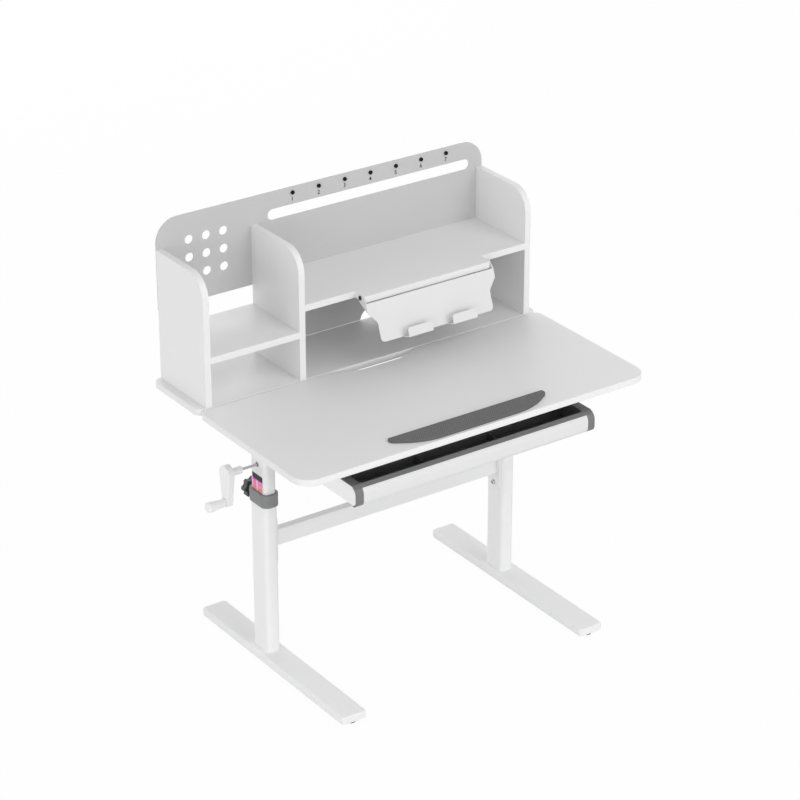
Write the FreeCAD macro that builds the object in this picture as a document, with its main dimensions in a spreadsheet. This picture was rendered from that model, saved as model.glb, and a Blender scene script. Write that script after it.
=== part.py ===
import FreeCAD, Part
import math
import operator
import os
import Sketcher

# Student desk with hutch: a crank-height desk with a tilting front board and a book hutch.
# Millimetres. X runs to the right, Y to the back, Z up. In the desk's own layout x is 0 in
# the middle, y is 0 at the front edge of the front board and z is 0 on the floor. The part's
# origin is the middle of its bounding box on the floor, so every placement adds one offset.

# Driving dimensions
SIZES = {
    # Boards of the desk top
    "top_width": 900,
    "front_depth": 400.5,
    "seam_gap": 3,
    "rear_depth": 188.1,
    "board_thickness": 15,
    "desk_height": 622,
    "front_corner_radius": 42,
    "board_corner_radius": 18,
    "board_edge_round": 1.2,
    "notch_width": 226,
    "notch_floor": 108,
    "notch_depth": 25,
    "notch_round": 38,
    # Edge stopper near the front edge
    "stopper_length": 410,
    "stopper_depth": 52.5,
    "stopper_height": 7,
    "stopper_setback": 7.5,
    "stopper_flat": 280,
    "stopper_end_depth": 12.5,
    "stopper_end_taper": 5,
    "stopper_round": 150,
    "stopper_tip_round": 12,
    "stopper_edge_round": 2.5,
    # Hutch
    "hutch_inset": 21,
    "hutch_height": 299,
    "hutch_setback": 1.5,
    "panel_thickness": 15,
    "panel_corner_radius": 54,
    "left_bay_width": 223.6,
    "left_shelf_top": 114.3,
    "book_shelf_top": 174.6,
    "feature_shift": 3.1,
    "tongue_width": 336.6,
    "tongue_reach": 37.8,
    "tongue_corner_radius": 6,
    # Back panel
    "sheet_thickness": 2,
    "back_height": 365,
    "back_corner_radius": 54,
    "back_lift": 159,
    "cable_hole_diameter": 58,
    "cable_hole_drop": 3.5,
    "hole_diameter": 20.4,
    "hole_pitch_across": 43.2,
    "hole_pitch_down": 41.6,
    "hole_inset": 81.6,
    "hole_drop": 60.8,
    "slot_margin": 24.7,
    "slot_height": 25,
    "slot_drop": 53.6,
    "peg_diameter": 9,
    "peg_height": 4,
    "peg_top_diameter": 7,
    "peg_pitch": 68.5,
    "peg_drop": 13.7,
    # Screws
    "screw_diameter": 4,
    "screw_head_diameter": 9,
    "screw_head_height": 1.6,
    "screw_depth": 14,
    "screw_clearance": 0.1,
    "back_screw_low": 190,
    "back_screw_high": 280,
    "board_screw_inset": 35,
    # Feet
    "foot_width": 61.5,
    "foot_length": 574,
    "foot_height": 17.5,
    "foot_centre": 297,
    "foot_corner_radius": 8,
    "foot_edge_round": 4,
    "foot_wall": 2,
    "foot_end": 50,
    "glide_height": 7.5,
    "glide_diameter": 31,
    "glide_base_diameter": 29,
    "glide_inset": 21.5,
    # Legs
    "leg_offset": 320.4,
    "leg_setback": 357,
    "outer_leg_width": 34,
    "outer_leg_depth": 64,
    "outer_leg_radius": 12,
    "inner_leg_width": 30,
    "inner_leg_depth": 60,
    "inner_leg_radius": 10,
    "tube_wall": 1.5,
    "inner_leg_bottom": 170,
    # Collars and lock knobs
    "collar_top": 417.5,
    "collar_height": 30.5,
    "collar_lip": 4,
    "collar_wall": 4,
    "collar_radius": 16,
    "collar_clearance": 0.15,
    "slide_clearance": 0.5,
    "collar_edge_round": 1.5,
    "boss_diameter": 26,
    "boss_height": 3,
    "knob_diameter": 46,
    "knob_thickness": 14,
    "knob_hub_diameter": 20,
    "knob_hub_height": 3,
    "knob_gap": 0.5,
    "knob_scallop_diameter": 16,
    "knob_scallop_depth": 5,
    "knob_edge_round": 1.5,
    "stud_diameter": 8,
    "stud_clearance": 0.08,
    # Crossbar
    "bar_height": 40,
    "bar_depth": 20,
    "bar_radius": 3,
    "bar_wall": 1.5,
    "bar_centre": 293.5,
    "bar_plate_height": 120,
    "bar_plate_depth": 44,
    "bar_plate_thickness": 3,
    "bar_plate_radius": 14,
    "bar_bolt_spread": 45,
    "bolt_diameter": 6,
    "bolt_head_diameter": 13,
    "bolt_head_height": 4,
    # Lead screws, nuts and bevel gears
    "screw_rod_diameter": 12,
    "screw_rod_bottom": 118,
    "nut_top": 300,
    "nut_height": 20,
    "nut_diameter": 22,
    "post_wall": 2,
    "rod_clearance": 0.1,
    "journal_diameter": 8,
    "thrust_collar_diameter": 18,
    "thrust_collar_height": 6,
    "thrust_gap": 0.2,
    "bearing_height": 12,
    "bearing_drop": 18,
    "bearing_clearance": 0.2,
    "gear_outer_reach": 10,
    "gear_inner_reach": 5.5,
    "gear_relief": 1.2,
    "gear_hub_diameter": 14,
    "gear_hub_height": 2.5,
    # Crank
    "crank_drop": 140.6,
    "shaft_diameter": 6,
    "shaft_clearance": 0.05,
    "bush_diameter": 12,
    "bush_length": 5,
    "crank_standoff": 40.6,
    "crank_hub_length": 28.5,
    "crank_hub_diameter": 17,
    "crank_hub_bore": 28,
    "crank_arm_thickness": 15,
    "crank_arm_radius": 20,
    "crank_tip_radius": 11,
    "crank_throw": 67,
    "crank_edge_round": 2.5,
    "grip_gap": 0.5,
    "grip_length": 44,
    "grip_diameter": 18,
    "grip_end_diameter": 26,
    "grip_end_wall": 3,
    "grip_end_round": 5,
    "grip_pin_diameter": 6,
    "grip_pin_clearance": 0.1,
    # Rails under the top
    "rail_height": 30,
    "rail_width": 40,
    "rail_wall": 2,
    "rail_flange": 12,
    "rail_front": 34,
    "rail_length": 541,
    "nose_rise": 12,
    "nose_length": 18,
    "leg_plate_thickness": 4,
    "leg_plate_length": 90,
    "leg_plate_width": 38,
    "cross_rail_depth": 30,
    "cross_rail_height": 20,
    "cross_rail_drop": 4,
    "front_cross_rail_setback": 95,
    "rear_cross_rail_setback": 480,
    # Tilt hinges
    "hinge_setback": 25,
    "hinge_drop": 6,
    "knuckle_radius": 5,
    "hinge_pin_diameter": 5,
    "hinge_pin_clearance": 0.05,
    "hinge_width": 34,
    "middle_knuckle_width": 11.4,
    "knuckle_gap": 0.3,
    "leaf_thickness": 2,
    "leaf_length": 38,
    "hinge_foot_start": 56,
    "hinge_foot_length": 15,
    # Tilt props
    "prop_offset": 234,
    "prop_drop": 9,
    "prop_length": 180,
    "prop_radius": 6,
    "prop_thickness": 6,
    "prop_pin_diameter": 5,
    "prop_ear_thickness": 3,
    "prop_ear_gap": 0.5,
    "prop_plate_length": 36,
    "rack_front": 72,
    "rack_length": 52,
    "rack_height": 4,
    "rack_width": 16,
    "rack_tooth_depth": 2.5,
    # Drawer
    "drawer_width": 623,
    "drawer_setback": 12,
    "drawer_drop": 58,
    "drawer_height": 48,
    "drawer_depth": 293,
    "front_wall": 3,
    "front_return": 14,
    "front_top_radius": 20,
    "front_bottom_radius": 13.5,
    "cap_width": 18.5,
    "side_thickness": 2,
    "side_clearance": 0.2,
    "side_gap": 0.8,
    "lip_drop": 0.9,
    "rim_height": 2.5,
    "tray_wall": 2.5,
    "tray_corner_radius": 8,
    "tray_rib_height": 14,
    "tray_rib_setback": 95,
    "tray_rib_offset": 95,
    # Drawer runners
    "runner_front": 110,
    "runner_length": 200,
    "slide_front": 150,
    "slide_length": 153,
    "slide_thickness": 6,
    "slide_height": 15.4,
    "slide_rise": 26.3,
    "runner_wall": 2,
    "runner_gap": 0.3,
    "runner_side_gap": 1,
    "runner_reach": 5,
    "runner_flange": 11,
    # Reading rest
    "rest_pivot_setback": 23.4,
    "rest_pivot_rise": 7.8,
    "rest_lean": 20.3,
    "rest_standoff": 15.1,
    "rest_thickness": 2,
    "rest_top_drop": 14,
    "rest_shoulder_drop": 34,
    "rest_taper_drop": 60,
    "rest_bottom_drop": 104.2,
    "rest_bottom_width": 300,
    "rest_corner_radius": 10,
    "ledge_depth": 19,
    "lip_height": 21,
    "lip_width": 64,
    "lip_spread": 59.4,
    "lip_corner_radius": 6,
    "ear_gap": 0.3,
    "ear_radius": 8,
    "pivot_screw_diameter": 5,
    "pivot_head_diameter": 10,
    "pivot_head_height": 2.5,
    "pivot_screw_depth": 20,
    # Height scale on the left inner leg
    "label_width": 40,
    "label_length": 150,
    "label_top": 457,
    "label_thickness": 0.25,
}

# Shares and counts
KNOB_LOBES = 7
RACK_TEETH = 6
PEG_COUNT = 7
HOLE_COUNT = 3
SIDES = (("left", -1), ("right", 1))
UPRIGHT = FreeCAD.Rotation()
HALF_TURN = FreeCAD.Rotation(FreeCAD.Vector(0, 0, 1), 180)
TOWARD_X = FreeCAD.Rotation(FreeCAD.Vector(0, 1, 0), 90)
AWAY_X = FreeCAD.Rotation(FreeCAD.Vector(0, 1, 0), -90)
TOWARD_FRONT = FreeCAD.Rotation(FreeCAD.Vector(1, 0, 0), 90)
TOWARD_REAR = FreeCAD.Rotation(FreeCAD.Vector(1, 0, 0), -90)
SLANT = math.sqrt(0.5)
HALF_BEND = math.tan(math.pi / 8)
BEND_SHARE = 0.97
SAME_PLACE = 1e-5

doc = FreeCAD.newDocument("student_desk")
sheet = doc.addObject("Spreadsheet::Sheet", "sizes")
nodes = {}
pairs = {}


class Size:
    """A length that knows its value and the sheet expression that gives it."""

    def __init__(self, value, text):
        self.value = value
        self.text = text

    def __add__(self, other):
        return joined(self, other, "+", operator.add)

    def __radd__(self, other):
        return joined(other, self, "+", operator.add)

    def __sub__(self, other):
        return joined(self, other, "-", operator.sub)

    def __rsub__(self, other):
        return joined(other, self, "-", operator.sub)

    def __mul__(self, other):
        return joined(self, other, "*", operator.mul)

    def __rmul__(self, other):
        return joined(other, self, "*", operator.mul)

    def __truediv__(self, other):
        return joined(self, other, "/", operator.truediv)

    def __neg__(self):
        return joined(0, self, "-", operator.sub)


def as_size(thing):
    """A plain number as a Size, so that it can be joined to one."""
    if isinstance(thing, Size):
        return thing
    return Size(float(thing), repr(float(thing)))


def joined(first, second, sign, work):
    """Two sizes joined by an arithmetic sign, in value and in text."""
    first = as_size(first)
    second = as_size(second)
    return Size(work(first.value, second.value), f"({first.text} {sign} {second.text})")


class Sizes:
    """The sheet's cells, each one an attribute that is a Size."""

    def __init__(self, values):
        for row, (name, value) in enumerate(values.items(), 1):
            sheet.set(f"A{row}", name)
            sheet.set(f"B{row}", str(value))
            sheet.setAlias(f"B{row}", name)
            setattr(self, name, Size(float(value), f"sizes.{name}"))
        doc.recompute()


s = Sizes(SIZES)
NONE = as_size(0)

# Places that follow from the sizes
board_bottom = s.desk_height - s.board_thickness
rear_front = s.front_depth + s.seam_gap
rear_back = rear_front + s.rear_depth
hutch_front = rear_front + s.hutch_setback
hutch_depth = rear_back - hutch_front
rail_bottom = board_bottom - s.rail_height
rail_floor = rail_bottom + s.rail_wall
foot_top = s.glide_height + s.foot_height
crank_height = s.desk_height - s.crank_drop
collar_bottom = s.collar_top - s.collar_height
knob_height = s.collar_top - s.collar_height / 2
leg_back = s.leg_setback + s.outer_leg_depth / 2
stud_reach = s.tube_wall + s.collar_wall + s.boss_height
inner_leg_face = s.leg_offset + s.inner_leg_width / 2
arm_inner_face = inner_leg_face + s.crank_standoff + s.crank_hub_length
arm_outer_face = arm_inner_face + s.crank_arm_thickness
grip_end = arm_outer_face + s.grip_gap + s.grip_length
hinge_height = board_bottom - s.hinge_drop
drawer_top = s.desk_height - s.drawer_drop
drawer_bottom = drawer_top - s.drawer_height
drawer_back = s.drawer_setback + s.drawer_depth
hutch_width = s.top_width - 2 * s.hutch_inset
divider_left = s.left_bay_width + s.panel_thickness - hutch_width / 2
divider_right = divider_left + s.panel_thickness
right_bay_end = hutch_width / 2 - s.panel_thickness
feature_offset = (divider_right + right_bay_end) / 2 + s.feature_shift
slot_length = right_bay_end - divider_right - 2 * s.slot_margin
shift_x = (grip_end - s.top_width / 2) / 2
shift_y = -(rear_back + s.sheet_thickness + s.screw_head_height) / 2


# Drawing and feature helpers
def new_body(name):
    return doc.addObject("PartDesign::Body", name)


def origin_plane(body, role):
    return next(plane for plane in body.Origin.OriginFeatures if plane.Role == role)


def new_sketch(body, role, offset=NONE):
    """A sketch on one of the body's origin planes, moved along the plane's normal by offset."""
    sketch = body.newObject("Sketcher::SketchObject", "profile")
    sketch.AttachmentSupport = [(origin_plane(body, role), "")]
    sketch.MapMode = "FlatFace"
    if offset is not NONE:
        sketch.AttachmentOffset.Base.z = offset.value
        sketch.setExpression("AttachmentOffset.Base.z", offset.text)
    return sketch


def tie(sketch, kind, size, *points):
    """A dimension in the sketch that follows the sheet."""
    index = sketch.addConstraint(Sketcher.Constraint(kind, *points, size.value))
    sketch.setExpression(f"Constraints[{index}]", size.text)


def tie_point(sketch, piece, end, x, y):
    for kind, size, axis in (("DistanceX", as_size(x), -2), ("DistanceY", as_size(y), -1)):
        if size.text == NONE.text:
            sketch.addConstraint(Sketcher.Constraint("PointOnObject", piece, end, axis))
        else:
            tie(sketch, kind, size, -1, 1, piece, end)


def outline(body, role, corners, offset=NONE):
    """A closed outline of straight sides, from corners (x, y) or (x, y, radius)."""
    sketch = new_sketch(body, role, offset)
    places = [FreeCAD.Vector(as_size(c[0]).value, as_size(c[1]).value, 0) for c in corners]
    count = len(corners)
    for index in range(count):
        sketch.addGeometry(Part.LineSegment(places[index], places[(index + 1) % count]))
    for index in range(count):
        sketch.addConstraint(Sketcher.Constraint("Coincident", index, 2, (index + 1) % count, 1))
    for index, corner in enumerate(corners):
        tie_point(sketch, index, 1, corner[0], corner[1])
    return sketch


def rounded_sketch(body, role, width, depth, radius, offset=NONE, x=NONE, y=NONE):
    """A rectangle with round corners about a middle point."""
    sketch = new_sketch(body, role, offset)
    corners = ((1, 1), (-1, 1), (-1, -1), (1, -1))
    centres = [(x + right * (width / 2 - radius), y + up * (depth / 2 - radius)) for right, up in corners]
    arcs = []
    for quarter, (across, along) in enumerate(centres):
        circle = Part.Circle(FreeCAD.Vector(across.value, along.value, 0), FreeCAD.Vector(0, 0, 1), radius.value)
        arcs.append(Part.ArcOfCircle(circle, quarter * math.pi / 2, (quarter + 1) * math.pi / 2))
        sketch.addGeometry(arcs[-1])
    count = len(arcs)
    for index in range(count):
        following = (index + 1) % count
        sketch.addGeometry(Part.LineSegment(arcs[index].EndPoint, arcs[following].StartPoint))
    for index in range(count):
        following = (index + 1) % count
        sketch.addConstraint(Sketcher.Constraint("Tangent", index, 2, count + index, 1))
        sketch.addConstraint(Sketcher.Constraint("Tangent", count + index, 2, following, 1))
    for index, (across, along) in enumerate(centres):
        tie_point(sketch, index, 3, across, along)
        tie(sketch, "Radius", radius, index)
    return sketch


def ring_sketch(body, role, x, y, diameter, offset=NONE):
    sketch = new_sketch(body, role, offset)
    centre = FreeCAD.Vector(as_size(x).value, as_size(y).value, 0)
    sketch.addGeometry(Part.Circle(centre, FreeCAD.Vector(0, 0, 1), diameter.value / 2))
    tie_point(sketch, 0, 3, x, y)
    tie(sketch, "Diameter", diameter, 0)
    return sketch


def strap_sketch(body, role, top, top_radius, tip, tip_radius, offset=NONE):
    """Two round ends joined by tangent sides, one end above the other."""
    sketch = new_sketch(body, role, offset)
    span = math.hypot(top[0].value - tip[0].value, top[1].value - tip[1].value)
    along = math.atan2(top[1].value - tip[1].value, top[0].value - tip[0].value)
    swing = math.acos((top_radius.value - tip_radius.value) / span)
    normal = FreeCAD.Vector(0, 0, 1)
    places = []
    for (x, y), radius, ends in ((top, top_radius, (-swing, swing)),
                                 (tip, tip_radius, (swing, 2 * math.pi - swing))):
        circle = Part.Circle(FreeCAD.Vector(x.value, y.value, 0), normal, radius.value)
        arc = Part.ArcOfCircle(circle, along + ends[0], along + ends[1])
        places.append((arc.StartPoint, arc.EndPoint))
        sketch.addGeometry(arc)
    sketch.addGeometry(Part.LineSegment(places[0][1], places[1][0]))
    sketch.addGeometry(Part.LineSegment(places[1][1], places[0][0]))
    for first, first_end, second, second_end in ((0, 2, 2, 1), (2, 2, 1, 1), (1, 2, 3, 1), (3, 2, 0, 1)):
        sketch.addConstraint(
            Sketcher.Constraint("Tangent", first, first_end, second, second_end))
    for piece, (x, y), radius in ((0, top, top_radius), (1, tip, tip_radius)):
        tie_point(sketch, piece, 3, x, y)
        tie(sketch, "Radius", radius, piece)
    return sketch


def extrude(body, sketch, length, cut=False, backward=False):
    """A Pad, or a Pocket where cut is true, of a sketch of the body."""
    before = body.Shape.Volume if body.Tip else 0
    feature = body.newObject("PartDesign::Pocket" if cut else "PartDesign::Pad", "extrusion")
    feature.Profile = sketch
    feature.Reversed = backward
    feature.Length = length.value
    feature.setExpression("Length", length.text)
    body.Tip = feature
    doc.recompute()
    change = body.Shape.Volume - before
    if change * (-1 if cut else 1) <= SAME_PLACE:
        raise RuntimeError(f"{body.Label}: an extrusion changed nothing")
    return feature


def round_edges(body, radius, wanted):
    """A fillet on the edges of the body's present shape that wanted picks."""
    base = body.Tip
    names = [f"Edge{n}" for n, edge in enumerate(base.Shape.Edges, 1) if wanted(edge)]
    if not names:
        raise RuntimeError(f"{body.Label}: no edge to round")
    fillet = body.newObject("PartDesign::Fillet", "rounding")
    fillet.Base = (base, names)
    fillet.Radius = radius.value
    fillet.setExpression("Radius", radius.text)
    body.Tip = fillet
    doc.recompute()


def spans(edge):
    box = edge.BoundBox
    return ((box.XMin, box.XMax), (box.YMin, box.YMax), (box.ZMin, box.ZMax))


def near(value, target):
    return abs(value - target) < SAME_PLACE * 100


def flat_at(axis, level):
    """Picks the edges that lie in the plane where the axis has the level."""
    return lambda edge: all(near(end, level.value) for end in spans(edge)[axis])


ROLE_AXES = {"XY_Plane": (0, 1), "XZ_Plane": (0, 2), "YZ_Plane": (1, 2)}


def stands_on(role, corner):
    """Picks the straight edges that rise square from a corner of an outline."""
    def wanted(edge):
        ends = spans(edge)
        places = zip(ROLE_AXES[role], corner[:2])
        return all(near(end, as_size(place).value) for axis, place in places for end in ends[axis])
    return wanted


def round_corners(body, role, corners):
    by_radius = {}
    for corner in corners:
        if len(corner) > 2:
            by_radius.setdefault(corner[2].text, (corner[2], []))[1].append(stands_on(role, corner))
    for radius, picks in by_radius.values():
        round_edges(body, radius, lambda edge: any(pick(edge) for pick in picks))


def shape(body, role, corners, length, cut=False, backward=False, offset=NONE):
    """An outline extruded, with its corners rounded where they have a radius."""
    extrude(body, outline(body, role, corners, offset), length, cut, backward)
    round_corners(body, role, corners)


def slab(name, role, corners, length, backward=False, offset=NONE):
    body = new_body(name)
    shape(body, role, corners, length, backward=backward, offset=offset)
    return body


def rectangle(width, depth, radius=None, x=NONE, y=NONE):
    """Corners of a rectangle about a middle point."""
    ends = [(x - width / 2, y - depth / 2), (x + width / 2, y - depth / 2),
            (x + width / 2, y + depth / 2), (x - width / 2, y + depth / 2)]
    return [end if radius is None else (*end, radius) for end in ends]


def span_corners(x_low, x_high, y_low, y_high):
    return [(x_low, y_low), (x_high, y_low), (x_high, y_high), (x_low, y_high)]


def place(item, x, y, z, turn=UPRIGHT):
    """Puts an object at a place in the desk's layout."""
    wanted = {"x": x + shift_x, "y": y + shift_y, "z": as_size(z)}
    base = FreeCAD.Vector(wanted["x"].value, wanted["y"].value, wanted["z"].value)
    item.Placement = FreeCAD.Placement(base, turn)
    for axis, size in wanted.items():
        item.setExpression(f"Placement.Base.{axis}", size.text)
    return item


def keep(name, item):
    """Makes an object a sub-part under its name."""
    item.Label = name
    nodes[name] = item
    return item


def keep_in(name, item):
    """Adds an object to a set of like pieces that become one sub-part."""
    pairs.setdefault(name, []).append(item)


def rod(diameter, length, x, y, z, turn=UPRIGHT, end_diameter=None):
    """A round bar, or a cone, from a place along the turned Z axis."""
    if end_diameter is None:
        item = doc.addObject("Part::Cylinder", "rod")
        radii = {"Radius": diameter / 2}
    else:
        item = doc.addObject("Part::Cone", "taper")
        radii = {"Radius1": diameter / 2, "Radius2": end_diameter / 2}
    for name, size in {**radii, "Height": length}.items():
        setattr(item, name, size.value)
        item.setExpression(name, size.text)
    return place(item, x, y, z, turn)


def box(width, depth, height, x, y, z):
    """A rectangular block from its low corner."""
    item = doc.addObject("Part::Box", "block")
    for name, size in (("Length", width), ("Width", depth), ("Height", height)):
        setattr(item, name, size.value)
        item.setExpression(name, size.text)
    return place(item, x, y, z)


def fused(*members):
    item = doc.addObject("Part::MultiFuse", "fusion")
    item.Shapes = list(members)
    item.Refine = True
    return item


def cut(base, *tools):
    item = doc.addObject("Part::Cut", "difference")
    item.Base = base
    item.Tool = tools[0] if len(tools) == 1 else fused(*tools)
    return item


def group(members):
    item = doc.addObject("Part::Compound", "set")
    item.Links = list(members)
    return item


def headed(diameter, length, head_diameter, head_height, x, y, z, turn, back):
    """A screw whose head stands behind its place, back being the unit step to the head."""
    head_x, head_y, head_z = (at + head_height * step for at, step in zip((x, y, z), back))
    shank = rod(diameter, length, x, y, z, turn)
    head = rod(head_diameter, head_height, head_x, head_y, head_z, turn)
    return fused(head, shank)


def rounded_bar(name, width, depth, radius, length):
    body = new_body(name)
    extrude(body, rounded_sketch(body, "XY_Plane", width, depth, radius), length)
    return body


def rounded_tube(name, width, depth, radius, wall, length):
    body = rounded_bar(name, width, depth, radius, length)
    hollow = rounded_sketch(body, "XY_Plane", width - 2 * wall, depth - 2 * wall, radius - wall)
    extrude(body, hollow, length, cut=True, backward=True)
    return body


# Feet, legs, collars, knobs and crossbar
def make_foot(side, sign):
    body = rounded_bar(f"{side}_foot", s.foot_width, s.foot_length, s.foot_corner_radius, s.foot_height)
    round_edges(body, s.foot_edge_round, flat_at(2, s.foot_height))
    inside = rectangle(s.foot_width - 2 * s.foot_wall, s.foot_length - 2 * s.foot_end)
    shape(body, "XY_Plane", inside, s.foot_height - s.foot_wall, cut=True, backward=True)
    keep(f"{side}_foot", place(body, sign * s.leg_offset, s.foot_centre, s.glide_height))


def make_glides():
    reach = s.foot_length / 2 - s.glide_inset
    glides = []
    for side, sign in SIDES:
        for end in (-1, 1):
            glides.append(rod(s.glide_base_diameter, s.glide_height, sign * s.leg_offset,
                              s.foot_centre + end * reach, NONE, end_diameter=s.glide_diameter))
    keep("foot_glides", group(glides))


def stud_hole(sign):
    """The bore of a lock stud, through the back of the outer leg and its collar."""
    start = leg_back - 2 * s.tube_wall
    return rod(s.stud_diameter + 2 * s.stud_clearance, 2 * stud_reach, sign * s.leg_offset, start, knob_height,
               TOWARD_REAR)


def make_outer_leg(side, sign):
    length = s.collar_top - s.collar_lip - foot_top
    tube = rounded_tube(f"{side}_outer_tube", s.outer_leg_width, s.outer_leg_depth,
                        s.outer_leg_radius, s.tube_wall, length)
    place(tube, sign * s.leg_offset, s.leg_setback, foot_top)
    holes = []
    for way in (-1, 1):
        holes.append(rod(s.bolt_diameter + 2 * s.screw_clearance, s.outer_leg_width / 2, sign * s.leg_offset,
                         s.leg_setback, s.bar_centre + way * s.bar_bolt_spread,
                         AWAY_X if sign > 0 else TOWARD_X))
    holes.append(stud_hole(sign))
    keep(f"{side}_outer_leg", cut(tube, *holes))


def make_collar(side, sign):
    width = s.outer_leg_width + 2 * s.collar_wall
    depth = s.outer_leg_depth + 2 * s.collar_wall
    body = rounded_bar(f"{side}_collar", width, depth, s.collar_radius, s.collar_height)
    round_edges(body, s.collar_edge_round, flat_at(2, s.collar_height))
    root = depth / 2 - s.collar_wall / 2
    boss = ring_sketch(body, "XZ_Plane", NONE, s.collar_height / 2, s.boss_diameter, -root)
    extrude(body, boss, s.collar_wall / 2 + s.boss_height, backward=True)
    recess = rounded_sketch(body, "XY_Plane", s.outer_leg_width + 2 * s.collar_clearance,
                            s.outer_leg_depth + 2 * s.collar_clearance, s.outer_leg_radius + s.collar_clearance)
    extrude(body, recess, s.collar_height - s.collar_lip, cut=True, backward=True)
    passage = rounded_sketch(body, "XY_Plane", s.inner_leg_width + 2 * s.slide_clearance,
                             s.inner_leg_depth + 2 * s.slide_clearance, s.inner_leg_radius + s.slide_clearance)
    extrude(body, passage, s.collar_height, cut=True, backward=True)
    place(body, sign * s.leg_offset, s.leg_setback, collar_bottom)
    keep_in("leg_collars", cut(body, stud_hole(sign)))


def make_knob(side, sign):
    start = leg_back + s.collar_wall + s.boss_height + s.knob_gap
    body = new_body(f"{side}_knob")
    star_top = s.knob_hub_height + s.knob_thickness
    extrude(body, ring_sketch(body, "XY_Plane", NONE, NONE, s.knob_diameter, s.knob_hub_height), s.knob_thickness)
    round_edges(body, s.knob_edge_round, flat_at(2, star_top))
    extrude(body, ring_sketch(body, "XY_Plane", NONE, NONE, s.knob_hub_diameter), s.knob_hub_height)
    reach = s.knob_diameter / 2 + s.knob_scallop_diameter / 2 - s.knob_scallop_depth
    scallop = ring_sketch(body, "XY_Plane", reach, NONE, s.knob_scallop_diameter)
    first = extrude(body, scallop, star_top, cut=True, backward=True)
    pattern = body.newObject("PartDesign::PolarPattern", "lobes")
    pattern.Originals = [first]
    pattern.Axis = (scallop, ["N_Axis"])
    pattern.Occurrences = KNOB_LOBES
    body.Tip = pattern
    doc.recompute()
    stud = ring_sketch(body, "XY_Plane", NONE, NONE, s.stud_diameter)
    extrude(body, stud, s.knob_gap + stud_reach, backward=True)
    keep(f"{side}_knob", place(body, sign * s.leg_offset, start, knob_height, TOWARD_REAR))


def make_crossbar():
    reach = s.leg_offset - s.outer_leg_width / 2
    inner = reach - s.bar_plate_thickness
    bar = new_body("crossbar_tube")
    section = rounded_sketch(bar, "YZ_Plane", s.bar_depth, s.bar_height, s.bar_radius, -inner)
    extrude(bar, section, 2 * inner)
    hollow = rounded_sketch(bar, "YZ_Plane", s.bar_depth - 2 * s.bar_wall, s.bar_height - 2 * s.bar_wall,
                            s.bar_radius - s.bar_wall, -inner)
    extrude(bar, hollow, 2 * inner, cut=True, backward=True)
    place(bar, NONE, s.leg_setback, s.bar_centre)
    members = [bar]
    holes = []
    bolts = []
    for side, sign in SIDES:
        plate = new_body(f"{side}_bar_plate")
        extrude(plate, rounded_sketch(plate, "YZ_Plane", s.bar_plate_depth, s.bar_plate_height, s.bar_plate_radius),
                s.bar_plate_thickness)
        members.append(place(plate, -reach if sign < 0 else inner, s.leg_setback, s.bar_centre))
        outward = TOWARD_X if sign > 0 else AWAY_X
        for way in (-1, 1):
            at = (sign * inner, s.leg_setback, s.bar_centre + way * s.bar_bolt_spread)
            holes.append(rod(s.bolt_diameter + 2 * s.screw_clearance, s.bar_plate_thickness, *at, outward))
            bolts.append(headed(s.bolt_diameter, s.bar_plate_thickness + s.tube_wall, s.bolt_head_diameter,
                                s.bolt_head_height, *at, outward, (-sign, 0, 0)))
    keep("crossbar", cut(fused(*members), *holes))
    keep("crossbar_bolts", group(bolts))


def make_nut(side, sign):
    at = (sign * s.leg_offset, s.leg_setback)
    bottom = s.nut_top - s.nut_height
    bore = s.screw_rod_diameter + 2 * s.rod_clearance
    post = cut(rod(s.nut_diameter, bottom - foot_top, *at, foot_top),
               rod(s.nut_diameter - 2 * s.post_wall, bottom - foot_top, *at, foot_top))
    keep_in("nut_posts", post)
    keep_in("lift_nuts", cut(rod(s.nut_diameter, s.nut_height, *at, bottom),
                             rod(bore, s.nut_height, *at, bottom)))


# Inner legs, gears and crank
def make_inner_leg(side, sign):
    at = (sign * s.leg_offset, s.leg_setback)
    top = rail_bottom - s.leg_plate_thickness
    tube = rounded_tube(f"{side}_inner_tube", s.inner_leg_width, s.inner_leg_depth, s.inner_leg_radius,
                        s.tube_wall, top - s.inner_leg_bottom)
    place(tube, *at, s.inner_leg_bottom)
    hole_start = -s.leg_offset - s.inner_leg_width / 2
    hole_length = s.inner_leg_width
    if sign > 0:
        hole_start = s.leg_offset - s.inner_leg_width / 2
        hole_length = s.inner_leg_width / 2
    hole = rod(s.bush_diameter + 2 * s.screw_clearance, hole_length, hole_start, s.leg_setback, crank_height,
               TOWARD_X)
    keep(f"{side}_inner_leg", cut(tube, hole))
    plate = rounded_bar(f"{side}_leg_plate", s.leg_plate_width, s.leg_plate_length, s.outer_leg_radius,
                        s.leg_plate_thickness)
    keep_in("leg_plates", place(plate, *at, top))
    inner_wall = s.tube_wall + s.bearing_clearance
    block = rounded_bar(f"{side}_bearing_block", s.inner_leg_width - 2 * inner_wall,
                        s.inner_leg_depth - 2 * inner_wall, s.inner_leg_radius - inner_wall, s.bearing_height)
    bearing_top = crank_height - s.bearing_drop
    place(block, *at, bearing_top - s.bearing_height)
    bore = rod(s.journal_diameter + 2 * s.rod_clearance, s.bearing_height, *at, bearing_top - s.bearing_height)
    keep_in("screw_bearings", cut(block, bore))


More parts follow.
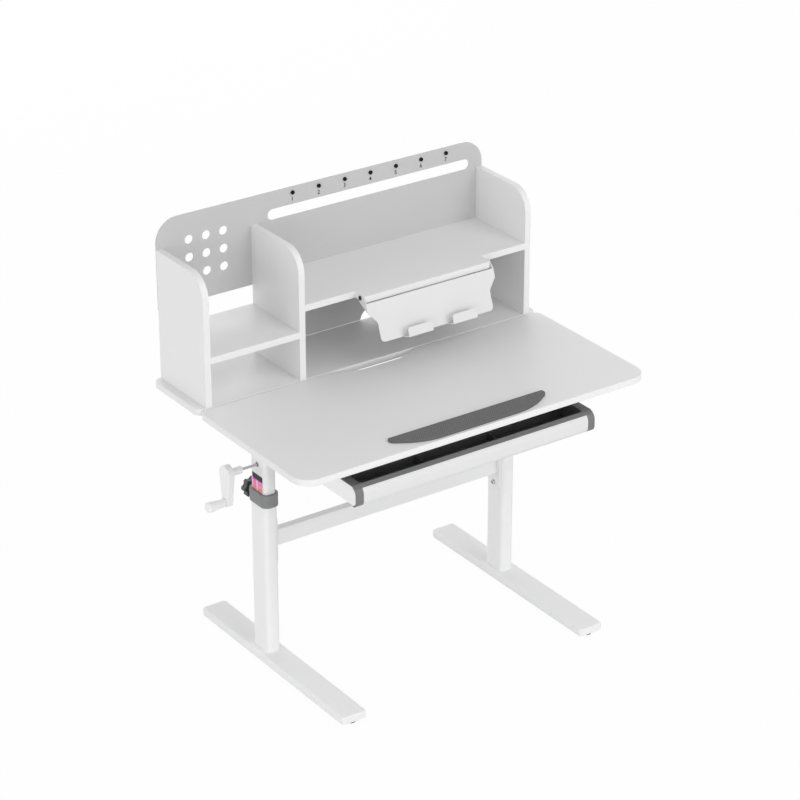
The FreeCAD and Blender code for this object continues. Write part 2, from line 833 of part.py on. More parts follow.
def make_lead_screw(side, sign):
    at = (sign * s.leg_offset, s.leg_setback)
    collar_face = crank_height - s.bearing_drop - s.bearing_height - s.thrust_gap
    collar_base = collar_face - s.thrust_collar_height
    gear_base = crank_height - s.gear_outer_reach - s.gear_hub_height
    rod_part = rod(s.screw_rod_diameter, collar_base - s.screw_rod_bottom, *at, s.screw_rod_bottom)
    collar = rod(s.thrust_collar_diameter, s.thrust_collar_height, *at, collar_base)
    gear_top = crank_height - s.gear_inner_reach
    journal = rod(s.journal_diameter, gear_top - collar_face, *at, collar_face)
    keep(f"{side}_lead_screw", fused(rod_part, collar, journal))
    hub = rod(s.gear_hub_diameter, s.gear_hub_height, *at, gear_base)
    cone = rod(2 * (s.gear_outer_reach - s.gear_relief), s.gear_outer_reach - s.gear_inner_reach, *at,
               gear_base + s.gear_hub_height, end_diameter=2 * (s.gear_inner_reach - s.gear_relief) + s.gear_relief)
    bore = rod(s.journal_diameter + 2 * s.shaft_clearance, gear_top - gear_base, *at, gear_base)
    keep(f"{side}_screw_gear", cut(fused(hub, cone), bore))


def make_pinion(side, sign):
    start = sign * s.leg_offset + s.gear_inner_reach
    at = (s.leg_setback, crank_height)
    length = s.gear_outer_reach - s.gear_inner_reach
    cone = rod(2 * (s.gear_inner_reach - s.gear_relief) + s.gear_relief, length, start, *at, TOWARD_X,
               end_diameter=2 * (s.gear_outer_reach - s.gear_relief))
    hub = rod(s.gear_hub_diameter, s.gear_hub_height, start + length, *at, TOWARD_X)
    bore = rod(s.shaft_diameter + 2 * s.shaft_clearance, length + s.gear_hub_height, start, *at, TOWARD_X)
    keep_in("shaft_pinions", cut(fused(cone, hub), bore))


def make_crank():
    at = (s.leg_setback, crank_height)
    body = new_body("crank_arm")
    top = (NONE, NONE)
    tip = (NONE, -s.crank_throw)
    arm = strap_sketch(body, "YZ_Plane", top, s.crank_arm_radius, tip, s.crank_tip_radius)
    extrude(body, arm, s.crank_arm_thickness, backward=True)
    round_edges(body, s.crank_edge_round, flat_at(0, -s.crank_arm_thickness))
    extrude(body, ring_sketch(body, "YZ_Plane", NONE, NONE, s.crank_hub_diameter), s.crank_hub_length)
    bore_start = s.crank_hub_length - s.crank_hub_bore
    bore = ring_sketch(body, "YZ_Plane", NONE, NONE, s.shaft_diameter + 2 * s.shaft_clearance, bore_start)
    extrude(body, bore, s.crank_hub_bore, cut=True, backward=True)
    keep("crank_arm", place(body, -arm_inner_face, *at))
    shaft_start = bore_start - arm_inner_face
    shaft_end = s.leg_offset + s.gear_outer_reach + s.gear_hub_height
    keep("crank_shaft", rod(s.shaft_diameter, shaft_end - shaft_start, shaft_start, *at, TOWARD_X))
    bushes = []
    for x in (-inner_leg_face, s.inner_leg_width / 2 - s.tube_wall - s.leg_offset,
              s.leg_offset - s.inner_leg_width / 2):
        ring = rod(s.bush_diameter, s.bush_length, x, *at, TOWARD_X)
        bushes.append(cut(ring, rod(s.shaft_diameter + 2 * s.shaft_clearance, s.bush_length, x, *at, TOWARD_X)))
    keep("shaft_bushes", group(bushes))


def make_grip():
    grip_height = crank_height - s.crank_throw
    start = -arm_outer_face - s.grip_gap
    bore_depth = s.grip_length - s.grip_end_wall
    bore_radius = s.grip_pin_diameter / 2 + s.grip_pin_clearance
    body = new_body("crank_grip")
    profile = outline(body, "XZ_Plane", [
        (bore_radius, NONE), (s.grip_diameter / 2, NONE), (s.grip_end_diameter / 2, s.grip_length),
        (NONE, s.grip_length), (NONE, bore_depth), (bore_radius, bore_depth)])
    turned = body.newObject("PartDesign::Revolution", "turned")
    turned.Profile = profile
    turned.ReferenceAxis = (profile, ["V_Axis"])
    body.Tip = turned
    doc.recompute()
    round_edges(body, s.grip_end_round, flat_at(2, s.grip_length))
    keep("crank_grip", place(body, start, s.leg_setback, grip_height, AWAY_X))
    pin_length = s.grip_gap + bore_depth - s.grip_gap
    keep("grip_pin", rod(s.grip_pin_diameter, pin_length, -arm_outer_face, s.leg_setback, grip_height, AWAY_X))


# Rails, hinges and props under the top
def make_rail(side, sign):
    half = s.rail_width / 2
    high = s.rail_height
    low = high - s.rail_wall
    wide = half + s.rail_flange
    inner = half - s.rail_wall
    hat = [(-wide, high), (-wide, low), (-half, low), (-half, NONE), (half, NONE), (half, low), (wide, low),
           (wide, high), (inner, high), (inner, s.rail_wall), (-inner, s.rail_wall), (-inner, high)]
    body = slab(f"{side}_rail_section", "XZ_Plane", hat, s.rail_length, backward=True)
    nose = [(NONE, NONE), (s.nose_length, NONE), (NONE, s.nose_rise)]
    shape(body, "YZ_Plane", nose, 2 * wide, cut=True, backward=True, offset=-wide)
    place(body, sign * s.leg_offset, s.rail_front, rail_bottom)
    holes = []
    screws = []
    gap = 2 * s.screw_clearance
    for across in (-1, 1):
        for y in (rear_front + s.board_screw_inset, rear_back - s.board_screw_inset):
            at = (sign * s.leg_offset + across * (half + s.rail_flange / 2), y, board_bottom - s.rail_wall)
            holes.append(rod(s.screw_diameter + gap, s.screw_depth + s.screw_clearance, *at))
            screws.append(headed(s.screw_diameter, s.screw_depth, s.screw_head_diameter, s.screw_head_height,
                                 *at, UPRIGHT, (0, 0, -1)))
    keep(f"{side}_rail", cut(body, *holes))
    return holes, screws


def make_cross_rail(setback):
    half = s.leg_offset - s.rail_width / 2
    low = board_bottom - s.cross_rail_drop - s.cross_rail_height
    wall = s.rail_wall
    solid = box(2 * half, s.cross_rail_depth, s.cross_rail_height, -half, setback, low)
    hollow = box(2 * half, s.cross_rail_depth - 2 * wall, s.cross_rail_height - 2 * wall, -half, setback + wall,
                 low + wall)
    keep_in("cross_rails", cut(solid, hollow))


def make_hinge(side, sign):
    x = sign * s.leg_offset
    half = s.hinge_width / 2
    rise = hinge_height - rail_floor
    back = s.hinge_foot_start - s.hinge_setback
    wall = s.leaf_thickness
    strut = [(back + s.hinge_foot_length, -rise), (back + s.hinge_foot_length, wall - rise), (back, wall - rise),
             (s.knuckle_radius, NONE), (-s.knuckle_radius, NONE), (NONE, -s.knuckle_radius), (back - wall, -rise)]
    arm = slab(f"{side}_hinge_arm", "YZ_Plane", strut, s.hinge_width)
    place(arm, x - half, s.hinge_setback, hinge_height)
    eye = rod(2 * s.knuckle_radius, s.hinge_width, x - half, s.hinge_setback, hinge_height, TOWARD_X)
    middle = s.middle_knuckle_width
    slot = rod(2 * (s.knuckle_radius + s.leaf_thickness), middle + 2 * s.knuckle_gap,
               x - middle / 2 - s.knuckle_gap, s.hinge_setback, hinge_height, TOWARD_X)
    bore_size = s.hinge_pin_diameter + 2 * s.hinge_pin_clearance
    bore = rod(bore_size, s.hinge_width, x - half, s.hinge_setback, hinge_height, TOWARD_X)
    keep_in("hinge_brackets", cut(fused(arm, eye), slot, bore))
    keep_in("hinge_pins", rod(s.hinge_pin_diameter, s.hinge_width, x - half, s.hinge_setback, hinge_height, TOWARD_X))
    leaf_start = s.hinge_setback + s.knuckle_radius + s.knuckle_gap
    leaf_low = board_bottom - s.leaf_thickness
    leaf = box(s.hinge_width, s.leaf_length, s.leaf_thickness, x - half, leaf_start, leaf_low)
    bridge = box(middle, leaf_start - s.hinge_setback, s.leaf_thickness, x - middle / 2, s.hinge_setback, leaf_low)
    knuckle = rod(2 * s.knuckle_radius, middle, x - middle / 2, s.hinge_setback, hinge_height, TOWARD_X)
    hole = rod(bore_size, middle, x - middle / 2, s.hinge_setback, hinge_height, TOWARD_X)
    keep_in("hinge_leaves", cut(fused(leaf, bridge, knuckle), hole))


def make_prop(side, sign):
    x = sign * s.leg_offset
    y = s.hinge_setback + s.prop_offset
    z = board_bottom - s.prop_drop
    body = new_body(f"{side}_prop_bar")
    eye = (NONE, NONE)
    foot = (-s.prop_length, NONE)
    strap = strap_sketch(body, "YZ_Plane", eye, s.prop_radius, foot, s.prop_radius)
    extrude(body, strap, s.prop_thickness)
    place(body, x - s.prop_thickness / 2, y, z)
    bore_size = s.prop_pin_diameter + 2 * s.hinge_pin_clearance
    keep(f"{side}_prop", cut(body, rod(bore_size, s.prop_thickness, x - s.prop_thickness / 2, y, z, TOWARD_X)))
    ear_start = s.prop_thickness / 2 + s.prop_ear_gap
    width = 2 * (ear_start + s.prop_ear_thickness)
    plate_low = board_bottom - s.leaf_thickness
    plate = box(width, s.prop_plate_length, s.leaf_thickness, x - width / 2, y - s.prop_plate_length / 2, plate_low)
    members = [plate]
    for low in (-ear_start - s.prop_ear_thickness, ear_start):
        members.append(box(s.prop_ear_thickness, 2 * s.prop_radius, plate_low - z, x + low, y - s.prop_radius, z))
        members.append(rod(2 * s.prop_radius, s.prop_ear_thickness, x + low, y, z, TOWARD_X))
    keep_in("prop_brackets", cut(fused(*members), rod(bore_size, width, x - width / 2, y, z, TOWARD_X)))
    keep_in("prop_pins", rod(s.prop_pin_diameter, width, x - width / 2, y, z, TOWARD_X))
    pitch = s.rack_length / RACK_TEETH
    teeth = [(NONE, NONE), (s.rack_length, NONE)]
    for tooth in range(RACK_TEETH, 0, -1):
        teeth.append((pitch * tooth, s.rack_height))
        teeth.append((pitch * (tooth - 1), s.rack_height - s.rack_tooth_depth))
    rack = slab(f"{side}_prop_rack", "YZ_Plane", teeth, s.rack_width)
    keep_in("prop_racks", place(rack, x - s.rack_width / 2, s.rack_front, rail_floor))


# Boards of the top
def make_front_board():
    half = s.top_width / 2
    deep = s.front_depth
    mouth = s.notch_width / 2
    floor = s.notch_floor / 2
    corners = [(-half, NONE, s.front_corner_radius), (half, NONE, s.front_corner_radius),
               (half, deep, s.board_corner_radius), (mouth, deep, s.notch_round),
               (floor, deep - s.notch_depth, s.notch_round), (-floor, deep - s.notch_depth, s.notch_round),
               (-mouth, deep, s.notch_round), (-half, deep, s.board_corner_radius)]
    body = slab("front_board", "XY_Plane", corners, s.board_thickness)
    round_edges(body, s.board_edge_round,
                lambda edge: flat_at(2, s.board_thickness)(edge) or flat_at(2, NONE)(edge))
    keep("front_board", place(body, NONE, NONE, board_bottom))


def make_stopper():
    half = s.stopper_length / 2
    flat = s.stopper_flat / 2
    back = s.stopper_depth
    tip = back - s.stopper_end_depth
    rear = half - s.stopper_end_taper
    corners = [(-flat, NONE, s.stopper_round), (flat, NONE, s.stopper_round), (half, tip, s.stopper_tip_round),
               (rear, back), (-rear, back), (-half, tip, s.stopper_tip_round)]
    body = slab("edge_stopper", "XY_Plane", corners, s.stopper_height)
    round_edges(body, s.stopper_edge_round, flat_at(2, s.stopper_height))
    keep("edge_stopper", place(body, NONE, s.stopper_setback, s.desk_height))


def make_rear_board(holes):
    corners = rectangle(s.top_width, s.rear_depth, s.board_corner_radius)
    body = slab("rear_board_blank", "XY_Plane", corners, s.board_thickness)
    round_edges(body, s.board_edge_round,
                lambda edge: flat_at(2, s.board_thickness)(edge) or flat_at(2, NONE)(edge))
    place(body, NONE, rear_front + s.rear_depth / 2, board_bottom)
    keep("rear_board", cut(body, *holes))


# Hutch
def make_upright(name, left_face, holes):
    corners = [(NONE, NONE), (hutch_depth, NONE), (hutch_depth, s.hutch_height),
               (NONE, s.hutch_height, s.panel_corner_radius)]
    body = slab(f"{name}_blank", "YZ_Plane", corners, s.panel_thickness)
    place(body, left_face, hutch_front, s.desk_height)
    keep(name, cut(body, *holes))


def make_hutch():
    half = hutch_width / 2
    gap = 2 * s.screw_clearance
    faces = {"hutch_left_panel": -half, "hutch_divider": divider_left, "hutch_right_panel": half - s.panel_thickness}
    board_holes = []
    back_holes = []
    board_screws = []
    back_screws = []
    for name, left_face in faces.items():
        middle = left_face + s.panel_thickness / 2
        holes = []
        for y in (hutch_front + s.board_screw_inset, rear_back - s.board_screw_inset):
            at = (middle, y, board_bottom)
            length = s.board_thickness + s.screw_depth
            hole = rod(s.screw_diameter + gap, length + s.screw_clearance, *at)
            holes.append(hole)
            board_holes.append(hole)
            board_screws.append(headed(s.screw_diameter, length, s.screw_head_diameter, s.screw_head_height, *at,
                                       UPRIGHT, (0, 0, -1)))
        for rise in (s.back_screw_low, s.back_screw_high):
            at = (middle, rear_back + s.sheet_thickness, s.desk_height + rise)
            length = s.sheet_thickness + s.screw_depth
            hole = rod(s.screw_diameter + gap, length + s.screw_clearance, *at, TOWARD_FRONT)
            holes.append(hole)
            back_holes.append(hole)
            back_screws.append(headed(s.screw_diameter, length, s.screw_head_diameter, s.screw_head_height, *at,
                                      TOWARD_FRONT, (0, 1, 0)))
        make_upright(name, left_face, holes)
    shelf = box(s.left_bay_width, hutch_depth, s.panel_thickness, s.panel_thickness - half, hutch_front,
                s.desk_height + s.left_shelf_top - s.panel_thickness)
    keep("left_shelf", shelf)
    make_book_shelf()
    make_back_panel(back_holes)
    keep("back_panel_screws", group(back_screws))
    return board_holes, board_screws


def make_book_shelf():
    low = feature_offset - s.tongue_width / 2
    high = feature_offset + s.tongue_width / 2
    corners = [(divider_right, NONE), (low, NONE), (low, -s.tongue_reach, s.tongue_corner_radius),
               (high, -s.tongue_reach, s.tongue_corner_radius), (high, NONE), (right_bay_end, NONE),
               (right_bay_end, hutch_depth), (divider_right, hutch_depth)]
    body = slab("book_shelf_blank", "XY_Plane", corners, s.panel_thickness)
    bottom = s.desk_height + s.book_shelf_top - s.panel_thickness
    place(body, NONE, hutch_front, bottom)
    pivot = (hutch_front - s.rest_pivot_setback, s.desk_height + s.book_shelf_top - s.panel_thickness + s.rest_pivot_rise)
    hole_size = s.pivot_screw_diameter + 2 * s.screw_clearance
    depth = s.pivot_screw_depth
    holes = [rod(hole_size, depth + s.screw_clearance, low, *pivot, TOWARD_X),
             rod(hole_size, depth + s.screw_clearance, high, *pivot, AWAY_X)]
    keep("book_shelf", cut(body, *holes))
    reach = depth + s.ear_gap + s.rest_thickness + s.ear_gap
    outer = s.ear_gap + s.rest_thickness + s.ear_gap
    screws = [headed(s.pivot_screw_diameter, reach, s.pivot_head_diameter, s.pivot_head_height, low - outer, *pivot,
                     TOWARD_X, (-1, 0, 0)),
              headed(s.pivot_screw_diameter, reach, s.pivot_head_diameter, s.pivot_head_height, high + outer, *pivot,
                     AWAY_X, (1, 0, 0))]
    keep("rest_pivot_screws", group(screws))


def make_back_panel(screw_holes):
    half = hutch_width / 2
    top = s.back_height
    step = divider_left + s.panel_thickness / 2
    corners = [(step, NONE), (half, NONE), (half, top, s.back_corner_radius), (-half, top, s.back_corner_radius),
               (-half, s.back_lift), (step, s.back_lift)]
    body = slab("back_panel_sheet", "XZ_Plane", corners, s.sheet_thickness, backward=True)
    slot = rounded_sketch(body, "XZ_Plane", slot_length, s.slot_height, s.slot_height / 2 - s.screw_clearance,
                          x=feature_offset, y=top - s.slot_drop)
    extrude(body, slot, s.sheet_thickness, cut=True)
    cable = ring_sketch(body, "XZ_Plane", feature_offset, -s.cable_hole_drop, s.cable_hole_diameter)
    extrude(body, cable, s.sheet_thickness, cut=True)
    ring = ring_sketch(body, "XZ_Plane", s.hole_inset - half, top - s.hole_drop, s.hole_diameter)
    first = extrude(body, ring, s.sheet_thickness, cut=True)
    grid = body.newObject("PartDesign::MultiTransform", "hole_grid")
    grid.Originals = [first]
    steps = []
    for axis, pitch, reverse in (("H_Axis", s.hole_pitch_across, False), ("V_Axis", s.hole_pitch_down, True)):
        pattern = body.newObject("PartDesign::LinearPattern", "hole_row")
        pattern.Direction = (ring, [axis])
        pattern.Reversed = reverse
        pattern.Occurrences = HOLE_COUNT
        pattern.Length = (pitch * (HOLE_COUNT - 1)).value
        pattern.setExpression("Length", (pitch * (HOLE_COUNT - 1)).text)
        steps.append(pattern)
    grid.Transformations = steps
    body.Tip = grid
    doc.recompute()
    place(body, NONE, rear_back, s.desk_height)
    keep("back_panel", cut(body, *screw_holes))
    pegs = []
    for index in range(PEG_COUNT):
        x = feature_offset + s.peg_pitch * (index - (PEG_COUNT - 1) / 2)
        pegs.append(rod(s.peg_diameter, s.peg_height, x, rear_back, s.desk_height + top - s.peg_drop, TOWARD_FRONT,
                        end_diameter=s.peg_top_diameter))
    keep("day_pegs", group(pegs))


# Reading rest in front of the book shelf
def make_reading_rest():
    half = s.tongue_width / 2 + s.ear_gap + s.rest_thickness
    foot = s.rest_bottom_width / 2
    top = -s.rest_top_drop
    shoulder = -s.rest_shoulder_drop
    low = -s.rest_bottom_drop
    body = new_body("reading_rest")
    plate = [(-half, top), (-half, shoulder, s.rest_corner_radius), (-foot, -s.rest_taper_drop, s.rest_corner_radius),
             (-foot, low, s.rest_corner_radius), (foot, low, s.rest_corner_radius),
             (foot, -s.rest_taper_drop, s.rest_corner_radius), (half, shoulder, s.rest_corner_radius), (half, top)]
    shape(body, "XZ_Plane", plate, s.rest_thickness, offset=s.rest_standoff)
    front = -s.rest_standoff - s.rest_thickness
    lip_back = front - s.ledge_depth
    lip_front = lip_back - s.rest_thickness
    lip_top = low - s.rest_thickness + s.lip_height
    profile = [(front + s.rest_thickness, low), (front + s.rest_thickness, low - s.rest_thickness),
               (lip_front, low - s.rest_thickness), (lip_front, lip_top), (lip_back, lip_top), (lip_back, low)]
    for way in (-1, 1):
        start = way * s.lip_spread - s.lip_width / 2
        shape(body, "YZ_Plane", profile, s.lip_width, offset=start)
        for end in (start, start + s.lip_width):
            round_edges(body, s.lip_corner_radius, stands_on("XZ_Plane", (end, lip_top)))
    ear = [(front, shoulder), (front + s.rest_thickness, shoulder), (s.ear_radius, -s.ear_radius),
           (s.ear_radius, s.ear_radius, s.pivot_screw_diameter), (-s.ear_radius, s.ear_radius, s.pivot_screw_diameter),
           (front, top)]
    for start in (-half, half - s.rest_thickness):
        shape(body, "YZ_Plane", ear, s.rest_thickness, offset=start)
    hole = ring_sketch(body, "YZ_Plane", NONE, NONE, s.pivot_screw_diameter + 2 * s.shaft_clearance, -half)
    extrude(body, hole, 2 * half, cut=True, backward=True)
    lean = FreeCAD.Rotation(FreeCAD.Vector(-1, 0, 0), s.rest_lean.value)
    pivot_height = s.desk_height + s.book_shelf_top - s.panel_thickness + s.rest_pivot_rise
    place(body, feature_offset, hutch_front - s.rest_pivot_setback, pivot_height, lean)
    body.setExpression("Placement.Rotation.Angle", s.rest_lean.text)
    keep("reading_rest", body)


# Drawer and its runners
def front_corner(inset):
    """Foot of the drawer front's upper bend, and its radius, on a line set in from the outer face."""
    radius = s.front_top_radius - inset
    return inset, s.drawer_height - s.front_top_radius + radius * HALF_BEND, radius * BEND_SHARE


def front_tip(inset):
    """End of the upper bend, halfway round its quarter circle."""
    rise = s.front_top_radius * (1 - SLANT)
    return rise + inset * SLANT, s.drawer_height - rise - inset * SLANT


def front_shell():
    """The white front's section from its upper bend down to its lower return, and back along the inside."""
    wall = s.front_wall
    return [(wall, wall, s.front_bottom_radius - wall), (s.front_return, wall), (s.front_return, NONE),
            (NONE, NONE, s.front_bottom_radius), front_corner(NONE), front_tip(NONE)]


def lip_end():
    high = s.drawer_height - s.lip_drop
    return [(s.front_return, high), (s.front_return, high - s.front_wall)]


def make_drawer():
    half = s.drawer_width / 2
    front_half = half - s.cap_width
    at_front = (s.drawer_setback, drawer_bottom)
    inner_bend = [front_tip(s.front_wall), front_corner(s.front_wall)]
    front = slab("drawer_front", "YZ_Plane", front_shell() + inner_bend, 2 * front_half)
    keep("drawer_front", place(front, -front_half, *at_front))
    lip = slab("drawer_lip", "YZ_Plane", [front_tip(NONE)] + lip_end() + [front_tip(s.front_wall)], 2 * front_half)
    keep_in("drawer_caps", place(lip, -front_half, *at_front))
    for side, sign in SIDES:
        cap = slab(f"{side}_drawer_cap", "YZ_Plane", front_shell() + lip_end() + inner_bend, s.cap_width)
        keep_in("drawer_caps", place(cap, front_half if sign > 0 else -half, *at_front))
        make_drawer_side(side, sign)
        make_runner(side, sign)
    make_tray(front_half)


def make_drawer_side(side, sign):
    half = s.drawer_width / 2
    inset = s.front_wall + s.side_gap
    deep = s.drawer_depth - s.side_clearance
    high = s.drawer_height - s.rim_height
    step = s.front_return + s.side_gap
    corners = [(inset, inset, s.front_bottom_radius - inset), (deep, inset), (deep, high), (step, high),
               (step, s.drawer_height - s.lip_drop - inset), front_tip(inset), front_corner(inset)]
    body = slab(f"{side}_drawer_side", "YZ_Plane", corners, s.side_thickness)
    x = half - s.side_thickness if sign > 0 else -half
    keep_in("drawer_sides", place(body, x, s.drawer_setback, drawer_bottom))


def make_tray(outer):
    half = s.drawer_width / 2
    low = s.front_wall
    high = s.drawer_height - s.rim_height
    front = s.front_return + s.side_clearance
    back = s.drawer_depth
    body = new_body("drawer_tray")
    tub = span_corners(-outer, outer, front, back)
    shape(body, "XY_Plane", tub, high - low, offset=low)
    rim = span_corners(-half, half, front, back)
    shape(body, "XY_Plane", rim, s.rim_height, offset=high)
    inside = [(x, y, s.tray_corner_radius) for x, y in
              span_corners(-outer + s.tray_wall, outer - s.tray_wall, front + s.tray_wall, back - s.tray_wall)]
    floor = low + s.tray_wall
    shape(body, "XY_Plane", inside, s.drawer_height - floor, cut=True, backward=True, offset=floor)
    rib_high = floor + s.tray_rib_height
    thick = s.tray_wall
    long_rib = span_corners(-outer + thick, outer - thick, s.tray_rib_setback, s.tray_rib_setback + thick)
    shape(body, "XY_Plane", long_rib, rib_high - floor, offset=floor)
    for sign in (-1, 1):
        middle = sign * s.tray_rib_offset
        rib = span_corners(middle - thick / 2, middle + thick / 2, front + thick, s.tray_rib_setback)
        shape(body, "XY_Plane", rib, rib_high - floor, offset=floor)
    keep("drawer_tray", place(body, NONE, s.drawer_setback, drawer_bottom))


def make_runner(side, sign):
    half = s.drawer_width / 2
    slide_low = drawer_bottom + s.slide_rise
    x = half if sign > 0 else -half - s.slide_thickness
    keep_in("drawer_slides", box(s.slide_thickness, s.slide_length, s.slide_height, x, s.slide_front, slide_low))
    wall = s.runner_wall
    web = s.slide_thickness + s.runner_side_gap
    edge = web - s.runner_reach
    low = -s.runner_gap - wall
    high = s.slide_height + s.runner_gap
    top = rail_bottom - slide_low
    section = [(edge, low), (web + wall, low), (web + wall, top - wall), (web + wall + s.runner_flange, top - wall),
               (web + wall + s.runner_flange, top), (web, top), (web, high + wall), (edge, high + wall), (edge, high),
               (web, high), (web, low + wall), (edge, low + wall)]
    body = slab(f"{side}_drawer_runner", "XZ_Plane", section, s.runner_length, backward=sign > 0)
    turn = UPRIGHT if sign > 0 else HALF_TURN
    keep_in("drawer_runners", place(body, sign * half, s.runner_front, slide_low, turn))


def make_label():
    label = box(s.label_thickness, s.label_width, s.label_length, -inner_leg_face - s.label_thickness,
                s.leg_setback - s.label_width / 2, s.label_top - s.label_length)
    keep("height_label", label)


def build():
    make_glides()
    for side, sign in SIDES:
        make_foot(side, sign)
        make_outer_leg(side, sign)
        make_collar(side, sign)
        make_knob(side, sign)
        make_nut(side, sign)
        make_inner_leg(side, sign)
        make_lead_screw(side, sign)
        make_pinion(side, sign)
        make_hinge(side, sign)
        make_prop(side, sign)
    make_crossbar()
    make_crank()
    make_grip()
    board_holes, board_screws = make_hutch()
    for side, sign in SIDES:
        holes, screws = make_rail(side, sign)
        board_holes.extend(holes)
        board_screws.extend(screws)
    make_rear_board(board_holes)
    keep("rear_board_screws", group(board_screws))
    make_cross_rail(s.front_cross_rail_setback)
    make_cross_rail(s.rear_cross_rail_setback)
    make_front_board()
    make_stopper()
    make_reading_rest()
    make_drawer()
    make_label()
    for name, members in pairs.items():
        keep(name, group(members))
    doc.recompute()


def check_and_write():
    for item in doc.Objects:
        if "Invalid" in item.State or "Error" in item.State:
            raise RuntimeError(f"{item.Label} failed: {item.State}")
    os.makedirs("parts", exist_ok=True)
    for name, item in nodes.items():
        solid = item.Shape
        if solid.isNull() or not solid.isValid() or not solid.Solids:
            raise RuntimeError(f"{name} has no sound shape")
        solid.exportStep(f"parts/{name}.step")
    print(f"{len(nodes)} sub-parts written")


build()
check_and_write()
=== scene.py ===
# %% [markdown]
# # A student desk with a hutch
#
# The desk arrives as a set of solids that already have their true sizes: boards, legs, a drawer, a crank and
# a hutch. This lesson dresses them. It sets up the picture first, because every finish is judged in it, then
# makes the finishes, and last the small pieces that the solids leave out.

# %% Load the solids
import math

import bmesh
import bpy
from mathutils import Euler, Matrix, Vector


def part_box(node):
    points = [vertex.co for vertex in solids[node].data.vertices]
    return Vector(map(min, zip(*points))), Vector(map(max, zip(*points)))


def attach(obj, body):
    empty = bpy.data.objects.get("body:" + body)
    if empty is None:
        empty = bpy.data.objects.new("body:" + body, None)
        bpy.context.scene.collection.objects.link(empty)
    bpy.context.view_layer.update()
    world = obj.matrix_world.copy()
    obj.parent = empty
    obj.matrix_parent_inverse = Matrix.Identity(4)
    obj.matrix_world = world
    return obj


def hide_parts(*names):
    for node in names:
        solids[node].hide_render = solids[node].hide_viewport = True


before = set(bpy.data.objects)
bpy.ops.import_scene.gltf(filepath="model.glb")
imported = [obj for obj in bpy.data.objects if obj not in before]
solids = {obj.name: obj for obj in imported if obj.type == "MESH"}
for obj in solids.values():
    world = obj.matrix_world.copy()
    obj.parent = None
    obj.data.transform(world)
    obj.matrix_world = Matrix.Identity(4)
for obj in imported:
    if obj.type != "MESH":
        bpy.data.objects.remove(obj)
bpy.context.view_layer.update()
MM = 0.001

# %% [markdown]
# ## The camera
#
# A product picture like this is taken from far away with a long lens, so the desk's edges stay nearly
# parallel. The view could be turned by eye until it looks right. Here the place and the angles come from a
# fit to the straight edges of the boards and feet in the photograph, with a top 900 mm wide, because then
# every piece lands where the photograph has it.

# %% Place the camera
QUARTER_TURN = math.pi / 2
CAMERA_PLACE = (-3.23356, -4.62967, 3.33359)
CAMERA_PITCH = -0.45558
CAMERA_YAW = -0.61028
LENS_MM = 130.086
SENSOR_MM = 36.0
VIEW_DEPTH = 100

bpy.ops.object.camera_add(location=CAMERA_PLACE, rotation=(QUARTER_TURN + CAMERA_PITCH, 0, CAMERA_YAW))
camera = bpy.context.object
camera.name = "photo_camera"
camera.data.lens = LENS_MM
camera.data.sensor_width = SENSOR_MM
camera.data.clip_end = VIEW_DEPTH
bpy.context.scene.camera = camera
bpy.context.scene.view_settings.view_transform = "Standard"
print(f"camera {camera.name} with a {LENS_MM} mm lens")

# %% [markdown]
# ## Floor and sky
#
# The desk stands on white paper that runs out of sight. More light would whiten a grey floor, but it would
# burn out the white boards as well. So the floor and the sky look white to the eye by their own glow, and a
# Light Path node keeps that glow off the desk. The floor still takes a soft shadow.


# %% Tell rays of the eye from the others
def link(tree, source, target):
    """Joins an output to an input."""
    tree.links.new(source, target)


def seen_directly(tree):
    """A value of 1 for rays from the eye, from a gloss and through glass, and 0 for the others."""
    path = tree.nodes.new("ShaderNodeLightPath")
    seen = path.outputs["Is Camera Ray"]
    for other in ("Is Glossy Ray", "Is Transmission Ray"):
        larger = tree.nodes.new("ShaderNodeMath")
        larger.operation = "MAXIMUM"
        link(tree, seen, larger.inputs[0])
        link(tree, path.outputs[other], larger.inputs[1])
        seen = larger.outputs[0]
    return seen


print("ray helpers ready")

# %% Lay the floor
WHITE = (1, 1, 1, 1)
FLOOR_SIZE = 60.0
FLOOR_DROP = -0.4 * MM
FLOOR_PAINT = (0.85, 0.85, 0.85, 1)
FLOOR_GLOW = 0.97

bpy.ops.object.select_all(action="DESELECT")
bpy.ops.mesh.primitive_plane_add(size=FLOOR_SIZE, location=(0, 0, FLOOR_DROP))
floor = bpy.context.object
floor.name = "studio_floor"
floor_paint = bpy.data.materials.new("studio_white")
floor_paint.use_nodes = True
tree = floor_paint.node_tree
matte = tree.nodes["Principled BSDF"]
matte.inputs["Base Color"].default_value = FLOOR_PAINT
matte.inputs["Roughness"].default_value = 1.0
matte.inputs["Specular IOR Level"].default_value = 0.0
glow = tree.nodes.new("ShaderNodeEmission")
glow.inputs["Color"].default_value = WHITE
glow_share = tree.nodes.new("ShaderNodeMath")
glow_share.operation = "MULTIPLY"
glow_share.inputs[1].default_value = FLOOR_GLOW
link(tree, seen_directly(tree), glow_share.inputs[0])
blend = tree.nodes.new("ShaderNodeMixShader")
link(tree, glow_share.outputs[0], blend.inputs[0])
link(tree, matte.outputs[0], blend.inputs[1])
link(tree, glow.outputs[0], blend.inputs[2])
link(tree, blend.outputs[0], tree.nodes["Material Output"].inputs["Surface"])
floor.data.materials.append(floor_paint)
print(f"floor {floor.name}, {FLOOR_SIZE} m wide")

# %% Light the sky
SKY_LIGHT = 0.55
SKY_WHITE = 1.0

